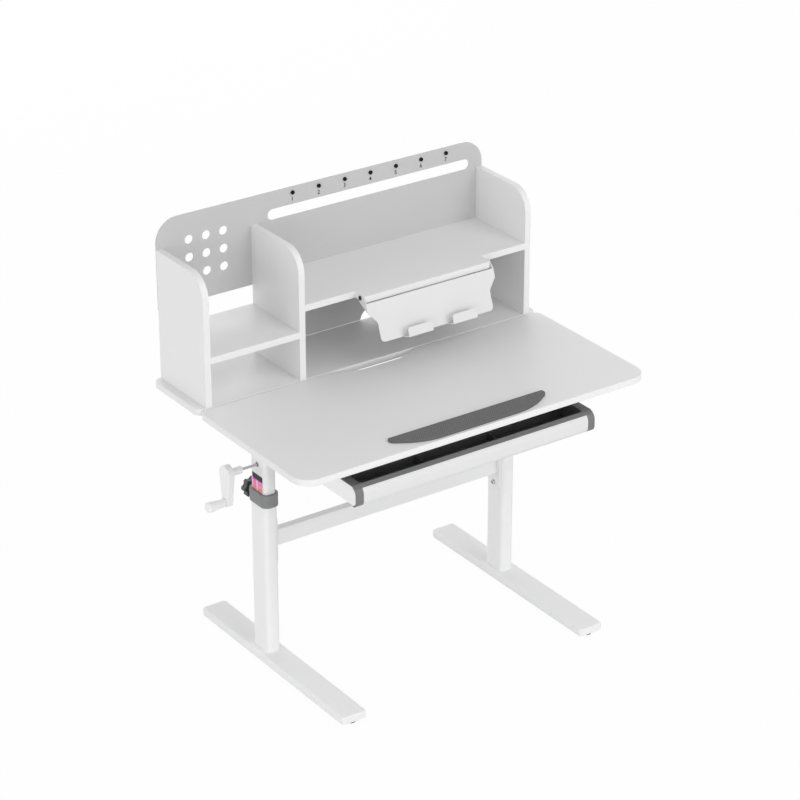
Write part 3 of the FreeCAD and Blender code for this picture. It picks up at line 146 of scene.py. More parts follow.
world = bpy.data.worlds.new("studio_sky")
bpy.context.scene.world = world
world.use_nodes = True
tree = world.node_tree
sky = tree.nodes["Background"]
sky.inputs["Color"].default_value = WHITE
strength = tree.nodes.new("ShaderNodeMix")
strength.inputs["A"].default_value = SKY_LIGHT
strength.inputs["B"].default_value = SKY_WHITE
link(tree, seen_directly(tree), strength.inputs["Factor"])
link(tree, strength.outputs["Result"], sky.inputs["Strength"])
print(f"sky {world.name} lights the desk at {SKY_LIGHT}")

# %% [markdown]
# ## Lamps
#
# White furniture on white only reads if its sides differ a little in brightness. Here the sides that face
# the viewer are the brightest and the tops are a step darker. One strong lamp would draw hard shadows, so
# the sky gives an even base, and wide soft panels add light from high, middle and low in front and from the
# left. A panel behind keeps the back of the desk from going grey.

# %% Hang the lamps
LAMPS = {
    # name: place in metres, width and height in metres, power in watts
    "high_panel": ((1.2, -3.8, 4.8), (4.2, 2.2), 64),
    "front_panel": ((0.8, -5.6, 2.3), (4.2, 2.0), 82),
    "low_panel": ((-3.8, -4.4, 1.1), (3.0, 1.6), 36),
    "left_panel": ((-8.5, 0.4, 2.0), (8.0, 4.0), 170),
    "rear_panel": ((1.0, 5.2, 2.2), (6.0, 3.4), 90),
}
LAMP_AIM = Vector((0, 0, 0.55))

for name, (place, size, power) in LAMPS.items():
    bpy.ops.object.light_add(type="AREA", location=place)
    lamp = bpy.context.object
    lamp.name = name
    lamp.data.shape = "RECTANGLE"
    lamp.data.size, lamp.data.size_y = size
    lamp.data.energy = power
    lamp.rotation_euler = (LAMP_AIM - Vector(place)).to_track_quat("-Z", "Y").to_euler()
print("lamps:", ", ".join(LAMPS))

# %% [markdown]
# ## Shared surface effects
#
# Laminate, powder coat and moulded plastic have a skin that is never quite even: a fine grain, a slow drift
# in gloss, and edges painted lighter, partly as rubbing wear and partly as a painted highlight. Each finish
# could have nodes of its own for that. One node group for the grain and one for the lighter edges are easier
# to keep right, and each finish feeds them its own numbers.

# %% Make helpers for node trees
FLOAT = "NodeSocketFloat"
COLOUR = "NodeSocketColor"
# Places of the colour sockets on a Mix node
MIX_FACTOR = 0
MIX_FIRST = 6
MIX_SECOND = 7
MIX_RESULT = 2


def start_group(name, inputs, outputs):
    """A shader node group with named sockets, and its entry and exit nodes."""
    group = bpy.data.node_groups.new(name, "ShaderNodeTree")
    for label, kind, value in inputs:
        group.interface.new_socket(label, in_out="INPUT", socket_type=kind).default_value = value
    for label, kind in outputs:
        group.interface.new_socket(label, in_out="OUTPUT", socket_type=kind)
    return group, group.nodes.new("NodeGroupInput"), group.nodes.new("NodeGroupOutput")


def feed(tree, socket, value):
    """Sets an input to a number or colour, or joins it to an output."""
    if isinstance(value, (int, float, tuple)):
        socket.default_value = value
    else:
        link(tree, value, socket)


def math_node(tree, operation, first, second):
    """A Math node of two values, each an output or a number."""
    node = tree.nodes.new("ShaderNodeMath")
    node.operation = operation
    feed(tree, node.inputs[0], first)
    feed(tree, node.inputs[1], second)
    return node.outputs[0]


def mix_colours(tree, factor, first, second, blend_type="MIX"):
    """A Mix node of two colours, each an output or a colour."""
    node = tree.nodes.new("ShaderNodeMix")
    node.data_type = "RGBA"
    node.blend_type = blend_type
    feed(tree, node.inputs[MIX_FACTOR], factor)
    feed(tree, node.inputs[MIX_FIRST], first)
    feed(tree, node.inputs[MIX_SECOND], second)
    return node.outputs[MIX_RESULT]


print("node helpers ready")

# %% Group the skin grain
FINE_DETAIL = 3
SLOW_DETAIL = 2
NOISE_MIDDLE = 0.5
DRIFT_SHARE = 0.5

grain_group, entry, leave = start_group(
    "skin_grain",
    [("Color", COLOUR, (0.8, 0.8, 0.8, 1)),
     ("Shade", FLOAT, 0.05),
     ("Scale", FLOAT, 500),
     ("Roughness", FLOAT, 0.45),
     ("Spread", FLOAT, 0.1),
     ("Drift Scale", FLOAT, 9)],
    [("Color", COLOUR), ("Roughness", FLOAT), ("Height", FLOAT)])
tree = grain_group
spot = tree.nodes.new("ShaderNodeTexCoord")
fine = tree.nodes.new("ShaderNodeTexNoise")
fine.inputs["Detail"].default_value = FINE_DETAIL
slow = tree.nodes.new("ShaderNodeTexNoise")
slow.inputs["Detail"].default_value = SLOW_DETAIL
for noise, scale in ((fine, "Scale"), (slow, "Drift Scale")):
    link(tree, spot.outputs["Object"], noise.inputs["Vector"])
    link(tree, entry.outputs[scale], noise.inputs["Scale"])
speck = math_node(tree, "SUBTRACT", fine.outputs["Fac"], NOISE_MIDDLE)
drift = math_node(tree, "SUBTRACT", slow.outputs["Fac"], NOISE_MIDDLE)
both = math_node(tree, "ADD", speck, math_node(tree, "MULTIPLY", drift, DRIFT_SHARE))
tone = math_node(tree, "ADD", math_node(tree, "MULTIPLY", both, entry.outputs["Shade"]), 1.0)
link(tree, mix_colours(tree, 1.0, entry.outputs["Color"], tone, "MULTIPLY"), leave.inputs["Color"])
gloss = math_node(tree, "MULTIPLY", math_node(tree, "ADD", drift, speck), entry.outputs["Spread"])
link(tree, math_node(tree, "ADD", gloss, entry.outputs["Roughness"]), leave.inputs["Roughness"])
link(tree, fine.outputs["Fac"], leave.inputs["Height"])
print(f"group {grain_group.name} with {len(tree.nodes)} nodes")

# %% Group the lighter edges, partly wear and partly painted highlight
EDGE_SAMPLES = 4
BEND_GAIN = 8.0

edge_group, entry, leave = start_group(
    "edge_wear_and_highlight",
    [("Color", COLOUR, (0.5, 0.5, 0.5, 1)),
     ("Edge Color", COLOUR, (0.7, 0.7, 0.7, 1)),
     ("Width", FLOAT, 0.001),
     ("Amount", FLOAT, 0.5)],
    [("Color", COLOUR)])
tree = edge_group
soft = tree.nodes.new("ShaderNodeBevel")
soft.samples = EDGE_SAMPLES
link(tree, entry.outputs["Width"], soft.inputs["Radius"])
sharp = tree.nodes.new("ShaderNodeNewGeometry")
agree = tree.nodes.new("ShaderNodeVectorMath")
agree.operation = "DOT_PRODUCT"
link(tree, soft.outputs["Normal"], agree.inputs[0])
link(tree, sharp.outputs["Normal"], agree.inputs[1])
bend = math_node(tree, "SUBTRACT", 1.0, agree.outputs["Value"])
near_edge = math_node(tree, "MINIMUM", math_node(tree, "MULTIPLY", bend, BEND_GAIN), 1.0)
# Painted highlight and wear: the colour lightens where the surface bends at an edge
rub_and_highlight = math_node(tree, "MULTIPLY", near_edge, entry.outputs["Amount"])
rubbed_and_lit = mix_colours(tree, rub_and_highlight, entry.outputs["Color"], entry.outputs["Edge Color"])
link(tree, rubbed_and_lit, leave.inputs["Color"])
print(f"group {edge_group.name} with {len(tree.nodes)} nodes")

# %% [markdown]
# ## Finishes
#
# The white boards are fibreboard under a satin laminate, the legs and rails are powder-coated steel, and the
# collars, end caps and edge stopper are grey moulded plastic. Each could be a material made by hand. They
# differ most in tone, grain size and gloss, so one function builds them all from a short row of values.

# %% List the finishes
FINISHES = {
    # shade and spread: how far colour and gloss vary; grain: specks per metre; bump: relief in mm
    # edge and rub_and_highlight: colour and strength of the lighter edges, partly wear and partly painted
    # highlight; sheen: strength of the reflection
    "white_laminate": dict(
        colour=(0.81, 0.81, 0.81), shade=0.05, grain=1100, rough=0.46, spread=0.10, bump=0.04),
    "white_powder_coat": dict(
        colour=(0.86, 0.86, 0.863), shade=0.03, grain=420, rough=0.58, spread=0.08, bump=0.06),
    "white_moulding": dict(
        colour=(0.87, 0.87, 0.87), shade=0.03, grain=700, rough=0.36, spread=0.08, bump=0.02),
    "satin_profile": dict(
        colour=(0.725, 0.725, 0.727), shade=0.03, grain=700, rough=0.42, spread=0.08, bump=0.02),
    "rest_enamel": dict(
        colour=(0.73, 0.73, 0.732), shade=0.03, grain=420, rough=0.55, spread=0.08, bump=0.04),
    "grey_powder_coat": dict(
        colour=(0.535, 0.535, 0.538), shade=0.05, grain=900, rough=0.48, spread=0.08, bump=0.04),
    "grey_moulding": dict(
        colour=(0.225, 0.226, 0.228), shade=0.10, grain=900, rough=0.50, spread=0.12, bump=0.06,
        edge=(0.34, 0.34, 0.34), rub_and_highlight=0.4),
    "cap_moulding": dict(
        colour=(0.165, 0.166, 0.168), shade=0.10, grain=900, rough=0.50, spread=0.12, bump=0.06,
        edge=(0.26, 0.26, 0.26), rub_and_highlight=0.4),
    "grey_rubber": dict(
        colour=(0.105, 0.105, 0.107), shade=0.12, grain=1200, rough=0.62, spread=0.12, bump=0.06,
        edge=(0.26, 0.26, 0.26), rub_and_highlight=0.5),
    # Painted highlight: the raised dots are the stopper's rubber in a lighter grey, as if lit
    "dot_rubber_painted_highlight": dict(
        colour=(0.165, 0.165, 0.167), shade=0.12, grain=1200, rough=0.62, spread=0.12, bump=0.03),
    "black_magnet": dict(
        colour=(0.006, 0.006, 0.006), shade=0.20, grain=900, rough=0.60, spread=0.10, bump=0.02, sheen=0.12),
    "black_moulding": dict(
        colour=(0.062, 0.062, 0.064), shade=0.15, grain=900, rough=0.42, spread=0.12, bump=0.05,
        edge=(0.16, 0.16, 0.16), rub_and_highlight=0.5),
    "zinc_plate": dict(
        colour=(0.52, 0.52, 0.53), shade=0.12, grain=600, rough=0.36, spread=0.15, bump=0.03, metal=0.9,
        edge=(0.7, 0.7, 0.7), rub_and_highlight=0.4),
    "black_steel": dict(
        colour=(0.05, 0.05, 0.052), shade=0.12, grain=600, rough=0.40, spread=0.15, bump=0.03, metal=0.6,
        edge=(0.2, 0.2, 0.2), rub_and_highlight=0.4),
    "turned_brass": dict(
        colour=(0.70, 0.52, 0.22), shade=0.10, grain=600, rough=0.32, spread=0.12, bump=0.02, metal=1.0,
        edge=(0.85, 0.7, 0.4), rub_and_highlight=0.4),
    "natural_nylon": dict(
        colour=(0.75, 0.74, 0.70), shade=0.05, grain=700, rough=0.45, spread=0.10, bump=0.03),
    "height_scale_print": dict(
        colour=(0.5, 0.5, 0.5), shade=0.04, grain=800, rough=0.34, spread=0.08, bump=0.01, sheen=0.2),
    # Painted shade: the tray is a darker grey than its own rim, for the shade under the board
    "tray_moulding_painted_shade": dict(
        colour=(0.10, 0.10, 0.103), shade=0.15, grain=900, rough=0.45, spread=0.12, bump=0.05),
}
print(f"{len(FINISHES)} finishes listed")

# %% Make the finishes
PLAIN_SHEEN = 0.5


def add_group(tree, group, values):
    """A node that uses a group, with its own values."""
    node = tree.nodes.new("ShaderNodeGroup")
    node.node_tree = group
    for label, value in values.items():
        node.inputs[label].default_value = value
    return node


def make_finish(name, colour, shade, grain, rough, spread, bump, metal=0.0, edge=None, rub_and_highlight=0.0,
                sheen=PLAIN_SHEEN):
    """A Principled material with grain, gloss drift, a fine bump and lighter edges: partly wear, partly
    painted highlight.
    """
    material = bpy.data.materials.new(name)
    material.use_nodes = True
    tree = material.node_tree
    shader = tree.nodes["Principled BSDF"]
    shader.inputs["Metallic"].default_value = metal
    shader.inputs["Specular IOR Level"].default_value = sheen
    values = {"Color": (*colour, 1), "Shade": shade, "Scale": grain, "Roughness": rough, "Spread": spread}
    surface = add_group(tree, grain_group, values)
    skin = surface.outputs["Color"]
    if edge is not None:
        # Lighter edges, partly wear and partly a painted highlight
        edges = add_group(tree, edge_group, {"Edge Color": (*edge, 1), "Amount": rub_and_highlight})
        link(tree, skin, edges.inputs["Color"])
        skin = edges.outputs["Color"]
    link(tree, skin, shader.inputs["Base Color"])
    link(tree, surface.outputs["Roughness"], shader.inputs["Roughness"])
    relief = tree.nodes.new("ShaderNodeBump")
    relief.inputs["Distance"].default_value = bump * MM
    link(tree, surface.outputs["Height"], relief.inputs["Height"])
    link(tree, relief.outputs["Normal"], shader.inputs["Normal"])
    return material


finishes = {name: make_finish(name, **values) for name, values in FINISHES.items()}
print("finishes:", ", ".join(finishes))

# %% [markdown]
# ## The height scale
#
# The scale on the left leg is a printed film: a black head, then bands that run from magenta to orange, with
# a tick every centimetre and a pale strip. A picture of it could be wrapped round the leg. Nodes that measure
# height and width on the film stay sharp at any distance, so the bands come from a colour ramp and the ticks
# from a remainder.

# %% Print the bands of the height scale
LABEL_LENGTH = 150 * MM
NEW_BAND_PLACE = 0.5
LABEL_BANDS = [
    # share of the length from below, colour
    (0.0, (0.95, 0.62, 0.10)),
    (0.45, (0.93, 0.35, 0.16)),
    (0.72, (0.90, 0.30, 0.28)),
    (0.80, (0.92, 0.25, 0.55)),
    (0.88, (0.85, 0.10, 0.62)),
    (0.91, (0.02, 0.02, 0.025)),
]

label_low, label_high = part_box("height_label")
tree = finishes["height_scale_print"].node_tree
spot = tree.nodes.new("ShaderNodeTexCoord")
axes = tree.nodes.new("ShaderNodeSeparateXYZ")
link(tree, spot.outputs["Object"], axes.inputs[0])
rise = math_node(tree, "SUBTRACT", axes.outputs["Z"], label_high.z - LABEL_LENGTH)
share = math_node(tree, "DIVIDE", rise, LABEL_LENGTH)
ramp = tree.nodes.new("ShaderNodeValToRGB")
ramp.color_ramp.interpolation = "CONSTANT"
link(tree, share, ramp.inputs["Fac"])
bands = ramp.color_ramp.elements
while len(bands) < len(LABEL_BANDS):
    bands.new(NEW_BAND_PLACE)
for band, (position, colour) in zip(bands, LABEL_BANDS):
    band.position = position
    band.color = (*colour, 1)
print(f"{len(bands)} bands on the height scale")

# %% Print the ticks and the strip
TICK_STEP = 10 * MM
TICK_WIDTH = 1.2 * MM
TICK_LENGTH = 12 * MM
STRIP_START = 19 * MM
STRIP_END = 24 * MM
HEAD_START = 0.90
PALE_INK = (0.9, 0.85, 0.88, 1)
INK_STRENGTH = 0.7

across = math_node(tree, "SUBTRACT", axes.outputs["Y"], label_low.y)
step_rise = math_node(tree, "MODULO", axes.outputs["Z"], TICK_STEP)
tick_height = math_node(tree, "LESS_THAN", step_rise, TICK_WIDTH)
tick_reach = math_node(tree, "LESS_THAN", across, TICK_LENGTH)
ticks = math_node(tree, "MULTIPLY", tick_height, tick_reach)
past_start = math_node(tree, "GREATER_THAN", across, STRIP_START)
before_end = math_node(tree, "LESS_THAN", across, STRIP_END)
strip = math_node(tree, "MULTIPLY", past_start, before_end)
below_head = math_node(tree, "LESS_THAN", share, HEAD_START)
pale = math_node(tree, "MULTIPLY", math_node(tree, "MAXIMUM", ticks, strip), below_head)
ink = math_node(tree, "MULTIPLY", pale, INK_STRENGTH)
printed = mix_colours(tree, ink, ramp.outputs["Color"], PALE_INK)
link(tree, printed, tree.nodes["Principled BSDF"].inputs["Base Color"])
print(f"a tick every {TICK_STEP} m")

# %% [markdown]
# ## The drawer's tray
#
# The tray is one dark moulding. Its rim is painted a lighter grey, near the grey of the end caps, as a
# painted highlight where the rim catches the light, and the darker body below it is painted shade under the
# board. The rim could be a second piece, but on the real tray it is the same plastic, so only the painted
# light changes with height.

# %% Paint light on the tray's rim
RIM_DEPTH = 2.6 * MM
# Painted highlight: the lighter grey on the rim stands for the light that falls on it
RIM_PAINTED_HIGHLIGHT = (0.14, 0.141, 0.143, 1)

rim_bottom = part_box("drawer_tray")[1].z - RIM_DEPTH
tree = finishes["tray_moulding_painted_shade"].node_tree
shader = tree.nodes["Principled BSDF"]
dark_skin = shader.inputs["Base Color"].links[0].from_socket
spot = tree.nodes.new("ShaderNodeTexCoord")
axes = tree.nodes.new("ShaderNodeSeparateXYZ")
link(tree, spot.outputs["Object"], axes.inputs[0])
# The rim above this height takes the painted highlight
on_painted_lit_rim = math_node(tree, "GREATER_THAN", axes.outputs["Z"], rim_bottom)
link(tree, mix_colours(tree, on_painted_lit_rim, dark_skin, RIM_PAINTED_HIGHLIGHT), shader.inputs["Base Color"])
print(f"the tray's rim starts at {rim_bottom:.4f} m")

# %% [markdown]
# ## Dressing the solids
#
# A finish belongs to a piece by what that piece is made of. A long run of assignments would hide a slip, so
# the lists below read like a cutting list: every solid of the desk is named once, and a check at the end
# says if one was forgotten.

# %% Give each solid its finish
DRESS = {
    "white_laminate": [
        "front_board", "rear_board", "hutch_left_panel", "hutch_divider", "hutch_right_panel", "left_shelf",
        "book_shelf"],
    "white_powder_coat": [
        "left_foot", "right_foot", "left_outer_leg", "right_outer_leg", "left_inner_leg", "right_inner_leg",
        "leg_plates", "crossbar", "left_rail", "right_rail", "cross_rails", "drawer_sides", "drawer_runners"],
    "rest_enamel": ["reading_rest"],
    "white_moulding": ["crank_arm", "crank_grip"],
    "satin_profile": ["drawer_front"],
    "grey_powder_coat": ["back_panel"],
    "grey_moulding": ["leg_collars", "shaft_bushes"],
    "cap_moulding": ["drawer_caps"],
    "grey_rubber": ["edge_stopper"],
    "black_magnet": ["day_pegs", "foot_glides"],
    "black_moulding": ["left_knob", "right_knob"],
    "zinc_plate": [
        "crossbar_bolts", "hinge_brackets", "hinge_pins", "hinge_leaves", "prop_racks", "prop_brackets",
        "prop_pins", "left_prop", "right_prop", "rear_board_screws", "back_panel_screws", "drawer_slides",
        "crank_shaft", "grip_pin", "shaft_pinions", "left_lead_screw", "right_lead_screw", "left_screw_gear",
        "right_screw_gear", "nut_posts"],
    "black_steel": ["rest_pivot_screws"],
    "turned_brass": ["lift_nuts"],
    "natural_nylon": ["screw_bearings"],
    "height_scale_print": ["height_label"],
    "tray_moulding_painted_shade": ["drawer_tray"],
}


def dress(piece, material):
    """Gives a piece one finish all over."""
    piece.data.materials.clear()
    piece.data.materials.append(material)


for finish_name, names in DRESS.items():
    for name in names:
        dress(solids[name], finishes[finish_name])
forgotten = set(solids) - {name for names in DRESS.values() for name in names}
print("without a finish:", sorted(forgotten))

# %% [markdown]
# ## Smooth shading
#
# The solids come as triangles, which show as facets on every round edge. More triangles would hide that at a
# cost. Shading them smooth wherever two faces meet at less than thirty degrees is enough: it keeps the round
# edges round and the flat faces flat.

# %% Smooth the round faces
SMOOTH_ANGLE = math.radians(30)

bpy.ops.object.select_all(action="DESELECT")
for solid in solids.values():
    solid.select_set(True)
bpy.context.view_layer.objects.active = solids["front_board"]
bpy.ops.object.shade_smooth_by_angle(angle=SMOOTH_ANGLE)
bpy.ops.object.select_all(action="DESELECT")
print(f"{len(solids)} solids shaded by angle")

# %% [markdown]
# ## Helpers for new pieces
#
# Small parts such as screw heads and magnets could each be modelled in place. Here one is modelled at the
# origin, standing on z = 0, and is then copied to every place where the desk has one. The places are measured
# on the solids, so a copy always sits where the real part does.


# %% Make helpers that select
def pick(pieces):
    """Selects only these objects, with the first one active."""
    bpy.ops.object.select_all(action="DESELECT")
    for piece in pieces:
        piece.select_set(True)
    bpy.context.view_layer.objects.active = pieces[0]


def pick_faces(piece, wanted):
    """In edit mode, selects only the faces for which wanted(face) is true."""
    bpy.ops.mesh.select_mode(type="FACE")
    bpy.ops.mesh.select_all(action="DESELECT")
    mesh = bmesh.from_edit_mesh(piece.data)
    for face in mesh.faces:
        face.select_set(wanted(face))
    bmesh.update_edit_mesh(piece.data)


print("selecting helpers ready")

# %% Make helpers that measure
MERGE_DISTANCE = 1e-6


def middle(box):
    """The point halfway between a box's low and high corners."""
    return (box[0] + box[1]) / 2


def islands(name):
    """Low and high corners of each separate solid in a node."""
    mesh = bmesh.new()
    mesh.from_mesh(solids[name].data)
    bmesh.ops.remove_doubles(mesh, verts=mesh.verts, dist=MERGE_DISTANCE)
    waiting = set(mesh.verts)
    boxes = []
    while waiting:
        front = [waiting.pop()]
        group = []
        while front:
            vert = front.pop()
            group.append(vert.co.copy())
            for edge in vert.link_edges:
                other = edge.other_vert(vert)
                if other in waiting:
                    waiting.remove(other)
                    front.append(other)
        low = Vector([min(point[axis] for point in group) for axis in range(3)])
        high = Vector([max(point[axis] for point in group) for axis in range(3)])
        boxes.append((low, high))
    mesh.free()
    return sorted(boxes, key=lambda box: tuple(box[0]))


print("measuring helpers ready")


# %% Make helpers that copy and finish
def repeat(piece, name, places):
    """Copies of a piece at places (point, turn), joined as one piece with its origin at zero."""
    copies = []
    for point, turn in places:
        copy = piece.copy()
        copy.data = piece.data.copy()
        bpy.context.collection.objects.link(copy)
        copy.location = point
        copy.rotation_euler = turn
        copies.append(copy)
    bpy.data.objects.remove(piece)
    pick(copies)
    bpy.ops.object.transform_apply(location=True, rotation=True, scale=True)
    bpy.ops.object.join()
    whole = bpy.context.object
    whole.name = name
    return whole


def finish_piece(piece, body, material):
    """Smooth shading, a finish and a body to ride on."""
    pick([piece])
    bpy.ops.object.shade_smooth_by_angle(angle=SMOOTH_ANGLE)
    dress(piece, material)
    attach(piece, body)
    print(f"{piece.name}: {len(piece.data.polygons)} faces on {body}")


print("copying helpers ready")

# %% [markdown]
# ## Magnets on the back panel
#
# Seven round magnets stand in a row along the top of the grey sheet. A plain cylinder would have a hard rim
# and a dead flat face. The real one has a soft rim and a shallow dish, so the rim is bevelled, and the face
# is inset and sunk.

# %% Make a helper for round stubs
RIM_STEPS = 4
# Upright part of a normal from which a face counts as facing up
FACING = 0.9


def round_stub(radius, height, rim, sides):
    """A standing cylinder whose upper rim is rounded, left in edit mode."""
    bpy.ops.object.select_all(action="DESELECT")
    bpy.ops.mesh.primitive_cylinder_add(
        vertices=sides, radius=radius, depth=height, location=(0, 0, height / 2))
    stub = bpy.context.object
    bpy.ops.object.transform_apply(location=True, rotation=True, scale=True)
    bpy.ops.object.mode_set(mode="EDIT")
    pick_faces(stub, lambda face: face.normal.z > FACING)
    bpy.ops.mesh.bevel(offset=rim, segments=RIM_STEPS, affect="EDGES")
    return stub


print("stub helper ready")

# %% Shape one magnet and copy it
TO_FRONT = Euler((QUARTER_TURN, 0, 0))
MAGNET_RIM = 1.1 * MM
MAGNET_SIDES = 40
FACE_INSET = 0.8 * MM
FACE_SINK = 0.35 * MM
NEARLY = 0.99

peg_boxes = islands("day_pegs")
peg_low, peg_high = peg_boxes[0]
peg_radius = (peg_high.x - peg_low.x) / 2
peg_height = peg_high.y - peg_low.y
magnet = round_stub(peg_radius, peg_height, MAGNET_RIM, MAGNET_SIDES)


def is_magnet_face(face):
    """True for the flat face at the top of the stub."""
    return face.normal.z > NEARLY and face.calc_center_median().z > NEARLY * peg_height


pick_faces(magnet, is_magnet_face)
bpy.ops.mesh.inset(thickness=FACE_INSET)
bpy.ops.transform.translate(value=(0, 0, -FACE_SINK))
bpy.ops.object.mode_set(mode="OBJECT")
magnet_places = []
for low, high in peg_boxes:
    magnet_places.append(((low.x + peg_radius, high.y, (low.z + high.z) / 2), TO_FRONT))
magnets = repeat(magnet, "note_magnets", magnet_places)
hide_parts("day_pegs")
finish_piece(magnets, "lift", finishes["black_magnet"])

# %% [markdown]
# ## Numbers under the magnets
#
# A mark is printed under each magnet. The marks here are plain numerals. A colour pattern could draw them,
# but it would blur close up, so they are set as text and turned into meshes a hair thicker than the paint.

# %% Set the numerals
NUMERAL_HEIGHT = 13 * MM
NUMERAL_WEIGHT = 0.22 * MM
NUMERAL_DROP = 24 * MM
PRINT_THICKNESS = 0.08 * MM

numerals = []
for number, (low, high) in enumerate(peg_boxes, 1):
    bpy.ops.object.select_all(action="DESELECT")
    bpy.ops.object.text_add()
    numeral = bpy.context.object
    numeral.data.body = str(number)
    numeral.data.size = NUMERAL_HEIGHT
    numeral.data.extrude = PRINT_THICKNESS
    numeral.data.offset = NUMERAL_WEIGHT
    numeral.data.align_x = "CENTER"
    bpy.ops.object.convert(target="MESH")
    numeral = bpy.context.object
    numeral.rotation_euler = TO_FRONT
    numeral.location = ((low.x + high.x) / 2, high.y, high.z - NUMERAL_DROP)
    bpy.ops.object.transform_apply(location=True, rotation=True, scale=True)
    numerals.append(numeral)
pick(numerals)
bpy.ops.object.join()
marks = bpy.context.object
marks.name = "day_numerals"
finish_piece(marks, "lift", finishes["black_magnet"])

# %% [markdown]
# ## Screws and bolts
#
# The sheet and the boards are held by pan-head screws with a cross recess, and the crossbar by button-head
# bolts with a hexagon socket. The recess could be drawn in the material, but it would stay flat from the
# side. So a head is a stub with a rounded rim, and a Boolean modifier takes the recess out of it.


# %% Make a helper that cuts
def cut_out(piece, cutters):
    """Takes the cutters out of a piece with applied Boolean modifiers, and removes them."""
    for cutter in cutters:
        pick([piece])
        modifier = piece.modifiers.new("recess", "BOOLEAN")
        modifier.operation = "DIFFERENCE"
        modifier.object = cutter
        bpy.ops.object.modifier_apply(modifier=modifier.name)
        bpy.data.objects.remove(cutter)


print("cutting helper ready")

# %% Make a helper for pan heads
PAN_SIDES = 28
# Shares of the head's height and radius
PAN_RIM = 0.55
CROSS_LENGTH = 1.2
CROSS_WIDTH = 0.22
CUTTER_HEIGHT = 1.3


def cross_head(radius, height):
    """A pan head with a cross recess."""
    head = round_stub(radius, height, PAN_RIM * height, PAN_SIDES)
    bpy.ops.object.mode_set(mode="OBJECT")
    bars = []
    for across, along in ((CROSS_LENGTH, CROSS_WIDTH), (CROSS_WIDTH, CROSS_LENGTH)):
        bpy.ops.mesh.primitive_cube_add(size=1, location=(0, 0, height))
        bar = bpy.context.object
        bar.scale = (across * radius, along * radius, CUTTER_HEIGHT * height)
        bpy.ops.object.transform_apply(location=True, rotation=True, scale=True)
        bars.append(bar)
    cut_out(head, bars)
    return head


print("pan head helper ready")

# %% Make a helper for button heads
BUTTON_SIDES = 40
SOCKET_SIDES = 6
# Shares of the head's height and radius
BUTTON_RIM = 0.6
SOCKET_RADIUS = 0.5


def socket_head(radius, height):
    """A button head with a hexagon socket."""
    head = round_stub(radius, height, BUTTON_RIM * height, BUTTON_SIDES)
    bpy.ops.object.mode_set(mode="OBJECT")
    bpy.ops.mesh.primitive_cylinder_add(
        vertices=SOCKET_SIDES, radius=SOCKET_RADIUS * radius, depth=CUTTER_HEIGHT * height,
        location=(0, 0, height))
    key = bpy.context.object
    bpy.ops.object.transform_apply(location=True, rotation=True, scale=True)
    cut_out(head, [key])
    return head


print("button head helper ready")

# %% Screw on the sheet
TO_BACK = Euler((-QUARTER_TURN, 0, 0))
SCREW_RADIUS = 4.5 * MM
SCREW_RISE = 1.6 * MM

sheet_places = []
for box in islands("back_panel_screws"):
    sheet_places.append(((middle(box).x, box[1].y - SCREW_RISE, middle(box).z), TO_BACK))
sheet_heads = repeat(cross_head(SCREW_RADIUS, SCREW_RISE), "sheet_screw_heads", sheet_places)
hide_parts("back_panel_screws")
finish_piece(sheet_heads, "lift", finishes["zinc_plate"])

# %% Screw the boards together
DOWN = Euler((math.pi, 0, 0))

board_places = []
for box in islands("rear_board_screws"):
    board_places.append(((middle(box).x, middle(box).y, box[0].z + SCREW_RISE), DOWN))
board_heads = repeat(cross_head(SCREW_RADIUS, SCREW_RISE), "board_screw_heads", board_places)
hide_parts("rear_board_screws")
finish_piece(board_heads, "lift", finishes["zinc_plate"])

# %% Bolt the crossbar
TO_LEFT = Euler((0, -QUARTER_TURN, 0))
TO_RIGHT = Euler((0, QUARTER_TURN, 0))
BOLT_RADIUS = 6.5 * MM
BOLT_RISE = 4 * MM

bolt_places = []
for box in islands("crossbar_bolts"):
    on_left = middle(box).x < middle(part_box("crossbar")).x
    seat = box[1].x - BOLT_RISE if on_left else box[0].x + BOLT_RISE
    bolt_places.append(((seat, middle(box).y, middle(box).z), TO_RIGHT if on_left else TO_LEFT))
bolt_heads = repeat(socket_head(BOLT_RADIUS, BOLT_RISE), "crossbar_bolt_heads", bolt_places)
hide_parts("crossbar_bolts")
finish_piece(bolt_heads, "base", finishes["zinc_plate"])

# %% Screw on the reading rest
PIVOT_RADIUS = 5 * MM
PIVOT_RISE = 2.5 * MM

pivot_places = []
for box in islands("rest_pivot_screws"):
    on_left = middle(box).x < middle(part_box("reading_rest")).x
    seat = box[0].x + PIVOT_RISE if on_left else box[1].x - PIVOT_RISE
    pivot_places.append(((seat, middle(box).y, middle(box).z), TO_LEFT if on_left else TO_RIGHT))
pivot_heads = repeat(socket_head(PIVOT_RADIUS, PIVOT_RISE), "rest_pivot_heads", pivot_places)
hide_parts("rest_pivot_screws")
finish_piece(pivot_heads, "lift", finishes["black_steel"])

# %% [markdown]
# ## Dots on the edge stopper
#
# The stopper keeps things from rolling off the board, and its top is set with low round dots for grip. A bump
# pattern would look right from above and vanish from the side, so the dots are modelled. One dot has only a
# few faces, and two Array modifiers lay it out in a honeycomb. Dots that would hang over the curved ends are
# found by casting rays down on the stopper, and are deleted.

# %% Shape one dot
DOT_RADIUS = 1.4 * MM
DOT_RISE = 0.6 * MM
DOT_SIDES = 8
# Shares of the dot's radius and rise
DOT_TOP = 0.72
DOT_INSET = 0.35
DOT_CROWN = 0.2

